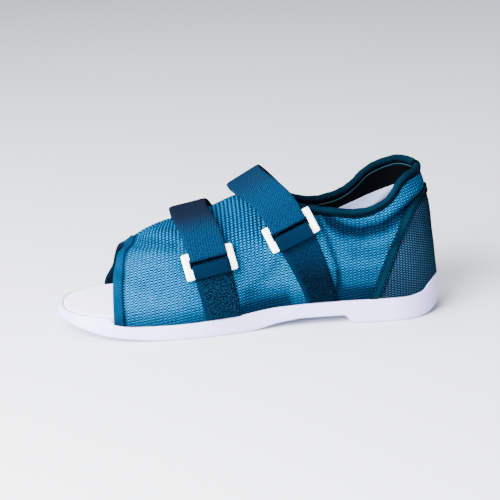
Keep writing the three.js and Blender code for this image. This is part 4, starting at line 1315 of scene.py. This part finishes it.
@dataclass(frozen=True)
class Edging:
    """Toe binding, collar roll and counter tape, with their stitches."""

    last: Last
    upper: Upper
    binding_width: float = 7.5
    binding_swell: float = 0.8
    roll_width: float = 5.6
    roll_height: float = 5.4
    roll_sink: float = 0.7
    tape_thickness: float = 0.9

    TAPE = Table(
        range(7),
        front=(0.275, 0.262, 0.236, 0.209, 0.178, 0.112, 0.0),
        front_up=(0.172, 0.24, 0.42, 0.58, 0.72, 0.843, 0.885),
        back=(0.25, 0.238, 0.214, 0.19, 0.157, 0.1, 0.0),
        back_up=(0.172, 0.215, 0.39, 0.54, 0.69, 0.797, 0.83),
    )
    TEAL = BindingFinish("teal binding", srgb("022f4d"), srgb("011121"))
    COLLAR_TEAL = BindingFinish("collar binding", srgb("031d2e"), srgb("01080f"), 1.2, 0.12)
    TAPE_CLOTH = BindingFinish("counter tape cloth", srgb("032030"), srgb("010a12"), 1.1)
    THREAD = ClothFinish("blue thread", srgb("063049"), srgb("031827"))
    # Lighter cord that paints a highlight line along the inside of the collar.
    HIGHLIGHT_CORD = ClothFinish("painted highlight cord", srgb("14303e"), srgb("0d222d"))
    JOIN = BindingFinish("collar join cloth", srgb("010b14"), srgb("000509"))

    def build_toe_binding(self) -> None:
        """Superellipse section folded round the wall's edge, carried from sole to sole."""
        count, turns = 240, 28
        t = np.linspace(-1, 1, count)
        side = np.where(t < 0, 1.0, -1.0)
        along = 1 - np.abs(t)
        turn = np.linspace(0, 2 * math.pi, turns, endpoint=False)

        def bulge(value: Array) -> Array:
            return np.sign(value) * np.abs(value) ** 0.55

        back = self.binding_width / 2 * (1 + bulge(np.cos(turn)))
        half = self.last.wall / 2 + self.binding_swell
        edge_place = self.last.place_of(np.full(count, self.last.toe_edge_at))
        run = lengths_along(self.last.upper_point(side, edge_place, along), 0)
        pucker = 0.12 * np.cos(2 * math.pi * run / 3.2)[:, None] * bell(back - 6.2, 1.6)[None]
        offset = -self.last.wall / 2 + (half - pucker) * bulge(np.sin(turn))[None]
        place = self.last.place_of(self.last.toe_edge_at - back)
        shape = (count, turns)
        rings = self.upper.skin(
            np.broadcast_to(side[:, None], shape),
            np.broadcast_to(place[None], shape),
            np.broadcast_to(along[:, None], shape),
            offset,
        )
        fabric = np.stack(np.broadcast_arrays(lengths_along(rings, 1), run[:, None]), axis=-1)
        # Painted shade on the binding: its inner face, its back edge by the mesh, its ends at the sole and
        # the far side.
        inner = ease(0.5 - 1.2 * np.sin(turn))[None] + 0.75 * ease((back - 5.6) / 1.2)[None]
        far = 0.9 * ease(-rings[..., 1] / 20)
        painted_binding_shade = np.clip(0.85 * inner + 0.6 * ease(1 - run[:, None] / 9) + far, 0, 1)
        values = {"shade": np.broadcast_to(painted_binding_shade, shape)}
        tape = tube(rings, False, fabric, values)
        add_piece("toe_binding_tape", tape, self.TEAL.material(), ["toe_binding"])
        seam_place = self.last.place_of(np.full(count, self.last.toe_edge_at - 6.1))
        seam = self.upper.skin(side, seam_place, along, np.full(count, self.binding_swell * 0.95))
        normals = self.last.upper_normal(side, seam_place, along)
        row = stitch_row(seam, normals, 3.2, 2.3, 0.55)
        add_piece("toe_binding_stitches", row, self.THREAD.material())

    def collar_loop(self, count: int) -> tuple[Array, Array]:
        """Sides and places right round the collar, evenly along its edge."""
        share = np.linspace(0, 1, 1500)
        heel = self.last.place_of(np.array(self.last.heel_round))
        throat = self.last.place_of(np.array(self.last.throat_at))
        near = np.concatenate(
            [
                np.linspace(0, float(heel), 500, endpoint=False),
                float(heel) + (float(throat) - float(heel)) * np.sin(math.pi / 2 * share[::2]),
            ]
        )
        side = np.concatenate([np.ones(len(near)), -np.ones(len(near) - 2)])
        place = np.concatenate([near, near[1:-1][::-1]])
        edge = self.last.upper_point(side, place, np.ones(len(place)))
        run = lengths_along(np.concatenate([edge, edge[:1]]), 0)
        wanted = np.linspace(0, run[-1], count, endpoint=False)
        index = np.interp(wanted, run[:-1], np.arange(len(place)))
        low = np.floor(index).astype(int)
        high = (low + 1) % len(place)
        part = index - low
        return side[low], mix(place[low], place[high], part)

    def build_collar_roll(self) -> None:
        """Padded roll: an ellipse carried round the collar, with soft puckers across it."""
        count, turns = 520, 22
        side, place = self.collar_loop(count)
        edge = self.last.upper_point(side, place, np.ones(count))
        outward = self.last.upper_normal(side, place, np.ones(count))
        run = unit(np.roll(edge, -3, 0) - np.roll(edge, 3, 0))
        up = unit(np.cross(run, outward))
        across = unit(np.cross(up, run))
        middle = edge - outward * (self.last.wall / 2) + up * (self.roll_height / 2 - self.roll_sink)
        turn = np.linspace(0, 2 * math.pi, turns, endpoint=False)
        base = middle[:, None] + across[:, None] * np.cos(turn)[None, :, None] * self.roll_width / 2
        base = base + up[:, None] * np.sin(turn)[None, :, None] * self.roll_height / 2
        length = lengths_along(edge, 0)
        wrinkle = 0.16 * ripple(base, 9.0, 21) + 0.12 * ripple(base, 4.5, 22) - 0.05
        radial = unit(base - middle[:, None])
        rings = base + radial * wrinkle[..., None]
        fabric = np.stack(np.broadcast_arrays(lengths_along(rings, 1), length[:, None]), axis=-1)
        # Painted shade on the roll's lower half and its inner face.
        under = 0.8 * ease(0.45 - 1.1 * np.sin(turn)) + 0.5 * ease(-1.6 * np.cos(turn) - 0.2)
        under = np.broadcast_to(np.clip(under, 0, 1)[None], rings.shape[:2])
        roll = tube(rings, True, fabric, {"shade": under})
        piece = add_piece("collar_roll_pad", roll, self.COLLAR_TEAL.material(), ["collar_roll"])
        self.build_collar_join(middle, across, up)
        self.build_collar_highlight_cord()
        self.build_collar_tape()

    def build_collar_join(self, middle: Array, across: Array, up: Array) -> None:
        """Dark cloth folded over the roll where the binding's ends meet at the back."""
        count, turns, reach = len(middle), 32, 7
        index = np.arange(-reach, reach + 1) % count
        turn = np.linspace(0, 2 * math.pi, turns, endpoint=False)
        swell = 1.0 + 0.13 * (1 - np.abs(np.linspace(-1, 1, len(index))) ** 4)[:, None, None]
        rings = middle[index][:, None] + swell * (
            across[index][:, None] * np.cos(turn)[None, :, None] * self.roll_width / 2
            + up[index][:, None] * np.sin(turn)[None, :, None] * self.roll_height / 2
        )
        length = lengths_along(middle[index], 0)
        fabric = np.stack(np.broadcast_arrays(lengths_along(rings, 1), length[:, None]), axis=-1)
        # Even painted shade over the whole sleeve.
        sleeve = tube(rings, False, fabric, {"shade": np.full(rings.shape[:2], 0.75)})
        add_piece("collar_join", sleeve, self.JOIN.material())

    def build_collar_highlight_cord(self) -> None:
        """Thin light cord round the inside of the collar, just under the roll: a painted highlight line."""
        count, turns = 520, 8
        side, place = self.collar_loop(count)
        along = self.inside_along(side, place, 2.6)
        line = self.upper.skin(side, place, along, np.full(count, -self.last.wall - 0.1))
        normal = self.last.upper_normal(side, place, along)
        run = unit(np.roll(line, -3, 0) - np.roll(line, 3, 0))
        across = unit(np.cross(run, normal))
        turn = np.linspace(0, 2 * math.pi, turns, endpoint=False)
        rings = line[:, None] + 0.42 * (
            normal[:, None] * np.cos(turn)[None, :, None] + across[:, None] * np.sin(turn)[None, :, None]
        )
        length = lengths_along(line, 0)[:, None]
        fabric = np.stack(np.broadcast_arrays(lengths_along(rings, 1), length), axis=-1)
        cord = tube(rings, True, fabric, {"shade": np.zeros(rings.shape[:2])})
        add_piece("collar_highlight_cord", cord, self.HIGHLIGHT_CORD.material())

    def inside_along(self, side: Array, place: Array, down: float) -> Array:
        """Share of each rib that lies a distance below its upper end."""
        foot = self.last.upper_point(side, place, np.zeros(len(place)))
        end = self.last.upper_point(side, place, np.ones(len(place)))
        return 1 - down / np.linalg.norm(end - foot, axis=-1)

    def build_collar_tape(self) -> None:
        """Lower hem of the collar binding, lying on the upper just under the roll."""
        count, steps = 520, 9
        side, place = self.collar_loop(count)
        shape = (count + 1, steps)
        wrap = np.r_[0:count, 0]
        side, place = side[wrap], place[wrap]
        foot = self.last.upper_point(side, place, np.zeros(count + 1))
        end = self.last.upper_point(side, place, np.ones(count + 1))
        rib = np.linalg.norm(end - foot, axis=-1)
        down = np.linspace(0, 2.0, steps)
        along = 1 - down[None] / rib[:, None]
        grid = self.upper.skin(
            np.broadcast_to(side[:, None], shape),
            np.broadcast_to(place[:, None], shape),
            along,
            np.full(shape, 0.25),
        )
        length = lengths_along(end, 0)
        fabric = np.stack(np.broadcast_arrays(down[None], length[:, None]), axis=-1)
        thickness = 0.5 * (1 - 0.75 * np.abs(np.linspace(-1, 1, steps)) ** 4)[None]
        # Even painted shade over the hem, which lies under the roll.
        surface = band(grid, np.broadcast_to(thickness, shape), fabric, {"shade": np.full(shape, 0.8)})
        add_piece("collar_hem", surface, self.COLLAR_TEAL.material())

    def build_counter_tape(self) -> None:
        """Tape between its two edge curves, over both sides and round the back."""
        rows, columns = 150, 9
        at = np.concatenate([np.linspace(0, 6, rows), np.linspace(6, 0, rows)[1:]])
        side = np.concatenate([np.ones(rows), -np.ones(rows - 1)])
        share = np.linspace(0, 1, columns)
        back, front, back_up, front_up = (
            self.TAPE(column, at)[:, None] for column in ("back", "front", "back_up", "front_up")
        )
        arc = self.last.length * mix(back, front, share[None])
        up = self.last.collar_height * mix(back_up, front_up, share[None])
        place = self.last.place_by_arc(arc)
        sides = np.broadcast_to(side[:, None], place.shape)
        along = self.last.along_at(sides, place, up)
        offset = np.full(place.shape, self.last.gap + self.tape_thickness / 2)
        grid = self.upper.skin(sides, place, along, offset)
        length = lengths_along(grid, 0)[:, columns // 2]
        width = lengths_along(grid, 1)
        thickness = self.tape_thickness * (1 - 0.7 * np.abs(2 * share - 1) ** 6)
        fabric = np.stack(np.broadcast_arrays(width, length[:, None]), axis=-1)
        rims = np.broadcast_to(0.95 * ease((np.abs(2 * share - 1) - 0.3) / 0.4)[None], place.shape)
        surface = band(grid, np.broadcast_to(thickness[None], place.shape), fabric, {"shade": rims})
        add_piece("counter_tape_band", surface, self.TAPE_CLOTH.material(), ["counter_tape"])
        normals = self.last.upper_normal(sides, place, along)
        rows_of_stitches = [
            stitch_row(grid[:, k] + normals[:, k] * self.tape_thickness * 0.42, normals[:, k], 3.0, 2.1, 0.45)
            for k in (1, columns - 2)
        ]
        add_piece("counter_tape_stitches", merged(rows_of_stitches), self.THREAD.material())

    def build(self) -> None:
        """Builds the bindings and the tape."""
        self.build_toe_binding()
        self.build_collar_roll()
        self.build_counter_tape()


@dataclass(frozen=True)
class Closure:
    """One strap with its ring and its anchor tab."""

    last: Last
    upper: Upper
    name: str
    tilt: float
    lean: float
    at: float
    up: float
    drift: float
    stand: float
    foot: float
    foot_width: float
    far_top: float
    far_bulge: float
    near_bulge: float
    clear: float
    strap_width: float = 25.4
    strap_thickness: float = 1.4
    strap_lap: float = 1.8
    anchor_thickness: float = 1.6
    ring_thickness: float = 3.0
    ring_height: float = 18.0
    ring_post: float = 4.4
    ring_bar_top: float = 4.9
    ring_bar_low: float = 7.1
    ring_slack: float = 1.0
    loop_slack: float = 0.2
    handle_up: float = 0.4
    handle_across: float = 0.58
    loop_squareness: float = 0.66
    end_up: float = 0.34
    valley: float = 0.0
    # Drop below the crown over which the painted dark reflection fades.
    crown_shade_fade: float = 9.0
    pile_light: str = "0a1e30"
    # Strength of the painted dark reflection on the crown.
    crown_shade_level: float = 1.0

    @staticmethod
    def axes(degrees: float) -> tuple[Array, Array]:
        """Directions along and square to a slope down to the toe."""
        a = math.radians(degrees)
        return np.array([math.cos(a), 0, -math.sin(a)]), np.array([math.sin(a), 0, math.cos(a)])

    def under_strap(self, side: float, across: Array, along: Array) -> tuple[Array, Array]:
        """Place and point of the upper with a given distance across the strap."""
        wide, _ = self.axes(self.tilt)
        s = np.full(np.shape(across), self.at * self.last.length)
        for _ in range(12):
            s = s + (across - self.last.upper_point(side, self.last.place_of(s), along) @ wide) / wide[0]
        place = self.last.place_of(s)
        return place, self.last.upper_point(side, place, along)

    def ring_frame(self) -> tuple[Array, Array, Array, Array, float]:
        """Centre of the ring, its directions along the bars, up and out, and its place across."""
        slope, _ = self.axes(self.lean)
        forward = self.at * self.last.length - self.last.heel_back
        start = np.array([forward, 0, self.up * self.last.instep_height])
        reach = self.strap_width / 2
        targets = start + np.array([[-reach], [0], [reach]]) * slope
        place, along = self.last.wall_place(1.0, targets[:, 0], targets[:, 2])
        out = unit(self.last.upper_normal(1.0, place, along).sum(axis=0))
        wide = unit(slope - out * (out @ slope))
        up = unit(np.cross(wide, out))
        centre = self.last.upper_point(1.0, place[1], along[1])
        half = (self.strap_width + self.ring_slack) / 2 + self.ring_post
        across, rise = np.meshgrid([-1, -0.5, 0, 0.5, 1], [-0.6, -0.3, 0, 0.3], indexing="ij")
        probe = centre + across[..., None] * half * wide + rise[..., None] * self.ring_height * up
        p, a = self.last.wall_place(1.0, probe[..., 0], probe[..., 2])
        bows = (self.last.upper_point(1.0, p, a) - centre) @ out
        room = 2 * self.last.gap + self.loop_slack + self.clear
        lift = room + self.anchor_thickness + self.ring_thickness / 2
        centre = centre + out * (lift + bows.max())
        return centre, wide, up, out, float(centre @ self.axes(self.tilt)[0])

    def layer(self, thickness: float) -> float:
        """From the middle of the ring's thickness to the middle of a band on it."""
        return self.ring_thickness / 2 + self.last.gap + self.loop_slack + thickness / 2

    def bar_loop(self, turn: float, thickness: float, steps: int) -> tuple[Array, Array]:
        """Loop round a bar of the ring: half a superellipse, as steps up and out."""
        edge = self.ring_height / 2 - (self.ring_bar_top if turn > 0 else self.ring_bar_low)
        start = 0.3 * self.ring_thickness
        depth = start + self.last.gap + self.loop_slack + thickness / 2
        angle = np.linspace(0, math.pi, steps)

        def bulge(value: Array) -> Array:
            return np.sign(value) * np.abs(value) ** self.loop_squareness

        up = turn * (edge + start - depth * bulge(np.sin(angle)))
        return up, -self.layer(thickness) * bulge(np.cos(angle))

    def strap_grid(self, columns: Array) -> tuple[Array, Array]:
        """Middle surface of the strap and, per row, how far it lies on the crown, for the painted dark
        reflection there.

        Args:
            columns: Distances across the strap.

        Returns:
            Rows by columns by 3, and a value of 0 to 1 per row.
        """
        centre, ring_wide, ring_up, ring_out, across = self.ring_frame()
        wide, up = self.axes(self.tilt)
        w = columns
        layer = self.layer(self.strap_thickness)
        leave = self.ring_height / 2 + 2
        crown_across = across + self.drift
        _, ridge = self.under_strap(1.0, np.array(crown_across), np.array(1.0))

        def near(t: Array, n: Array) -> Array:
            t, n = np.asarray(t, float)[..., None, None], np.asarray(n, float)[..., None, None]
            return centre + ring_wide * w[:, None] + ring_up * t + ring_out * n

        def crown(lap: float) -> Array:
            return wide * (crown_across + w)[:, None] + up * (ridge @ up + self.stand + lap)

        def far(along: float, lap: float) -> Array:
            share = np.full(w.shape, along)
            place, point = self.under_strap(-1.0, across + w, share)
            offset = self.last.gap + self.strap_thickness / 2 + lap
            return point + self.last.upper_normal(-1.0, place, share) * offset

        def arch(foot: Array, direction: Array, top: Array, bulge: float, steps: int = 26) -> Array:
            rise = np.linalg.norm(top - foot, axis=-1, keepdims=True)
            low = foot + direction * self.handle_up * rise
            low[:, 1] += bulge * np.sign(foot[:, 1])
            high = top.copy()
            high[:, 1] = foot[:, 1] * self.handle_across
            t = (np.arange(steps) / steps)[:, None, None]
            dip = self.valley * bell(t - 0.34, 0.16) if foot[0, 1] > 0 else 0 * t
            return cubic(foot, low, high, top, t) - dip * ring_out

        def far_up(lap: float) -> Array:
            return unit(far(self.far_top + 0.02, lap) - far(self.far_top - 0.02, lap))

        def run(start: float, lap: float) -> Array:
            return np.stack([far(mix(start, self.far_top, k / 8), lap) for k in range(8)])

        loop_up, loop_out = self.bar_loop(1.0, self.strap_thickness, 15)
        lap = self.strap_lap
        near_up = np.broadcast_to(ring_up, (len(w), 3))
        parts = [
            run(0.03, 0),
            arch(far(self.far_top, 0), far_up(0), crown(0), self.far_bulge),
            crown(0)[None],
            arch(near(leave, -layer), near_up, crown(0), self.near_bulge)[::-1],
            near(loop_up, loop_out),
            arch(near(leave, layer), near_up, crown(lap), self.near_bulge),
            crown(lap)[None],
            arch(far(self.far_top, lap), far_up(lap), crown(lap), self.far_bulge)[::-1],
            run(self.end_up, lap)[::-1],
        ]
        grid = np.concatenate(parts)
        top = crown(0).mean(axis=0)[2]
        height = grid.mean(axis=1)[:, 2]
        return grid, np.clip(1 - (top - height) / self.crown_shade_fade, 0, 1)

    def build_strap(self) -> None:
        """Webbing with firm rounded edges along the strap's path."""
        share = np.sin(np.linspace(-math.pi / 2, math.pi / 2, 19))
        columns = share * self.strap_width / 2
        grid, crown = self.strap_grid(columns)
        thickness = self.strap_thickness * (1 - 0.8 * np.abs(share) ** 14)
        length = lengths_along(grid, 0)[:, len(share) // 2]
        shape = grid.shape[:2]
        fabric = np.stack(np.broadcast_arrays(columns[None], length[:, None]), axis=-1)
        # Painted dark reflection on the crown.
        values = {"crown": self.crown_shade_level * np.broadcast_to(crown[:, None], shape)}
        surface = band(grid, np.broadcast_to(thickness[None], shape), fabric, values)
        node = f"strap_{self.name}"
        webbing = WebbingFinish(f"webbing {self.name}").material()
        add_piece(f"{node}_webbing", surface, webbing, [node])

    def build_ring(self) -> None:
        """Ring: a rounded section carried round a rounded rectangle."""
        centre, wide, up, out, _ = self.ring_frame()
        half_wide = (self.strap_width + self.ring_slack) / 2
        half_high = (self.ring_height - self.ring_bar_top - self.ring_bar_low) / 2
        window_rise = (self.ring_bar_low - self.ring_bar_top) / 2
        turn = np.linspace(0, 2 * math.pi, 160, endpoint=False)

        def loop(a: float, b: float, power: float) -> tuple[Array, Array]:
            """Superellipse |x/a|^n + |y/b|^n = 1 with n = 2 / power."""
            c, s = np.cos(turn), np.sin(turn)
            return a * np.sign(c) * np.abs(c) ** power, b * np.sign(s) * np.abs(s) ** power

        inner_x, inner_y = loop(half_wide, half_high, 0.08)
        inner_y = inner_y + window_rise
        outer_x, outer_y = loop(half_wide + self.ring_post, self.ring_height / 2, 0.1)
        section = np.linspace(0, 2 * math.pi, 20, endpoint=False)
        reach = 0.5 + 0.5 * np.sign(np.cos(section)) * np.abs(np.cos(section)) ** 0.5
        depth = self.ring_thickness / 2 * np.sign(np.sin(section)) * np.abs(np.sin(section)) ** 0.5
        x = mix(inner_x[:, None], outer_x[:, None], reach[None])
        y = mix(inner_y[:, None], outer_y[:, None], reach[None])
        rings = centre + x[..., None] * wide + y[..., None] * up + depth[None, :, None] * out
        fabric = np.stack([x, y], axis=-1)
        node = f"ring_{self.name}"
        plastic = PlasticFinish(f"plastic {self.name}").material()
        add_piece(f"{node}_moulding", tube(rings, True, fabric), plastic, [node])

    def anchor_grid(self, columns: Array) -> Array:
        """Middle surface of the anchor: up the wall, round the lower bar and turned over."""
        centre, ring_wide, ring_up, ring_out, _ = self.ring_frame()
        layer = self.layer(self.anchor_thickness)
        foot_s, foot_x, _ = self.last.outline(self.last.place_of(np.array(self.foot * self.last.length)))
        offset = self.last.gap + self.anchor_thickness / 2
        w = columns

        def near(t: Array, n: Array) -> Array:
            t, n = np.asarray(t, float)[..., None, None], np.asarray(n, float)[..., None, None]
            return centre + ring_wide * w[:, None] + ring_up * t + ring_out * n

        under = near(-self.ring_height / 2 - 1, 0)
        t = (np.arange(30) / 30)[:, None]
        x = mix(foot_x + w[None] * self.foot_width, under[None, :, 0], t**1.25)
        z = mix(self.last.side_top(foot_s) + 1.2, under[None, :, 2], t)
        place, along = self.last.wall_place(1.0, x, z)
        wall = self.upper.skin(np.ones(x.shape), place, along, np.full(x.shape, offset))
        loop_up, loop_out = self.bar_loop(-1.0, self.anchor_thickness, 15)
        over = np.linspace(0, 1, 7)[1:]
        end_up = -self.ring_height / 2 - 0.6
        start_up = loop_up[-1]
        tail = near(mix(start_up, end_up, over), mix(layer, 0.9 * layer, over**2))
        turn_in = near([-self.ring_height / 2], [-layer + 0.1])
        return np.concatenate([wall, turn_in, near(loop_up, loop_out), tail])

    def build_anchor(self) -> None:
        """Pile tab, with a smooth turned-over band on the ring's lower bar."""
        share = np.sin(np.linspace(-math.pi / 2, math.pi / 2, 41))
        columns = share * self.strap_width / 2
        grid = self.anchor_grid(columns)
        steps = [np.stack([mix(a, b, k / 3) for k in range(3)]) for a, b in zip(grid[:-1], grid[1:])]
        grid = np.concatenate(steps + [grid[-1:]])
        thickness = self.anchor_thickness * (1 - 0.8 * np.abs(share) ** 10)
        length = lengths_along(grid, 0)[:, len(share) // 2]
        shape = grid.shape[:2]
        fabric = np.stack(np.broadcast_arrays(columns[None], length[:, None]), axis=-1)
        wall_rows = 90
        tab, fold = slice(0, wall_rows + 3), slice(wall_rows, shape[0])
        node = f"anchor_{self.name}"
        pile = PileFinish(f"pile {self.name}", srgb(self.pile_light)).material()
        bands = np.broadcast_to(thickness[None], shape)
        add_piece(f"{node}_pile", band(grid[tab], bands[tab], fabric[tab]), pile, [node])
        smooth = BindingFinish(f"anchor fold {self.name}", srgb("01182d"), srgb("010914"), 1.1)
        folded = band(grid[fold], bands[fold] * 0.9, fabric[fold])
        add_piece(f"{node}_fold", folded, smooth.material(), [node])

    def build(self) -> None:
        """Builds strap, ring and anchor."""
        self.build_strap()
        self.build_ring()
        self.build_anchor()


# Studio


@dataclass(frozen=True)
class Studio:
    """Floor, lights and the camera at the photo's angle."""

    turn: float = 4.0
    elevation: float = 16.35
    roll: float = -2.35
    distance: float = 1.3
    target: tuple[float, float, float] = (0.095, 0.0, 0.030)
    focal_pixels: float = 1898.0
    target_pixel: tuple[float, float] = (247.21, 273.23)
    image: float = 500.0
    sensor: float = 36.0

    def directions(self) -> tuple[Array, Array, Array]:
        """Camera's right, up and back: round the shoe, up from the floor, then rolled."""
        a, e, r = (math.radians(v) for v in (self.turn, self.elevation, self.roll))
        back = np.array([math.sin(a) * math.cos(e), math.cos(a) * math.cos(e), math.sin(e)])
        right = unit(np.cross(-back, np.array([0.0, 0.0, 1.0])))
        up = np.cross(right, -back)
        return right * math.cos(r) + up * math.sin(r), up * math.cos(r) - right * math.sin(r), back

    def build_camera(self) -> None:
        """Camera whose shift puts the target at its pixel of the photo."""
        right, up, back = self.directions()
        data = bpy.data.cameras.new("camera")
        data.sensor_width = self.sensor
        data.lens = self.focal_pixels / self.image * self.sensor
        data.shift_x = (self.image / 2 - self.target_pixel[0]) / self.image
        data.shift_y = (self.target_pixel[1] - self.image / 2) / self.image
        data.clip_start, data.clip_end = 0.05, 20.0
        camera = bpy.data.objects.new("camera", data)
        columns = np.stack([right, up, back, np.array(self.target) + back * self.distance], axis=1)
        camera.matrix_world = Matrix(np.vstack([columns, [0, 0, 0, 1]]).tolist())
        bpy.context.scene.collection.objects.link(camera)
        bpy.context.scene.camera = camera

    def build_floor(self) -> None:
        """Plain pale floor."""
        mesh = bpy.data.meshes.new("floor")
        mesh.from_pydata([(-6, -6, 0), (6, -6, 0), (6, 6, 0), (-6, 6, 0)], [], [(0, 1, 2, 3)])
        s = Shader("floor", 0.8)
        mesh.materials.append(s.finish(srgb("d5d8dc")))
        floor = bpy.data.objects.new("floor", mesh)
        bpy.context.scene.collection.objects.link(floor)

    def add_light(self, name: str, place: Sequence[float], size: float, power: float, colour: Colour) -> None:
        """Square soft light aimed at the shoe."""
        data = bpy.data.lights.new(name, "AREA")
        data.size, data.energy, data.color = size, power, colour
        light = bpy.data.objects.new(name, data)
        light.location = Vector(place)
        light.rotation_euler = (Vector(self.target) - Vector(place)).to_track_quat("-Z", "Y").to_euler()
        bpy.context.scene.collection.objects.link(light)

    def build(self) -> None:
        """Builds camera, floor, four soft lights and a pale surround."""
        self.build_camera()
        self.build_floor()
        self.add_light("key", (0.66, 0.8, 0.6), 0.75, 88.0, (0.98, 0.98, 1.0))
        self.add_light("toe", (1.3, 0.4, 0.3), 0.5, 48.0, (1.0, 0.99, 0.97))
        self.add_light("fill", (-0.6, 1.5, 0.7), 1.2, 5.0, (0.95, 0.97, 1.0))
        self.add_light("top", (0.45, -0.4, 1.5), 1.0, 26.0, (1.0, 1.0, 1.0))
        world = bpy.data.worlds.new("surround")
        world.use_nodes = True
        background = world.node_tree.nodes["Background"]
        background.inputs[0].default_value = (*srgb("e9ebfb"), 1.0)
        background.inputs[1].default_value = 0.7
        bpy.context.scene.world = world


def main() -> None:
    """Builds the whole shoe and its studio."""
    logging.basicConfig(level=logging.INFO, format="%(name)s %(message)s")
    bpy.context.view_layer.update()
    Studio().build()
    last = Last()
    upper = Upper(last, slots=(((110, 54), (135.5, 48.5)), ((56, 73), (79.5, 62.5))))
    Sole(last).build()
    upper.build()
    Edging(last, upper).build()
    Closure(
        last, upper, "front", tilt=12, lean=13, at=0.606, up=0.558, drift=5, stand=4.6, foot=0.577,
        foot_width=0.95, far_top=0.5, far_bulge=1, near_bulge=0, clear=0, pile_light="143a58",
    ).build()
    Closure(
        last, upper, "rear", tilt=30, lean=25, at=0.392, up=0.765, drift=9, stand=11, foot=0.32,
        foot_width=0.84, far_top=0.42, far_bulge=9, near_bulge=3, clear=1.2, valley=2.2, crown_shade_fade=5.0,
        pile_light="0b2338", crown_shade_level=0.45,
    ).build()


if __name__ == "__main__":
    main()
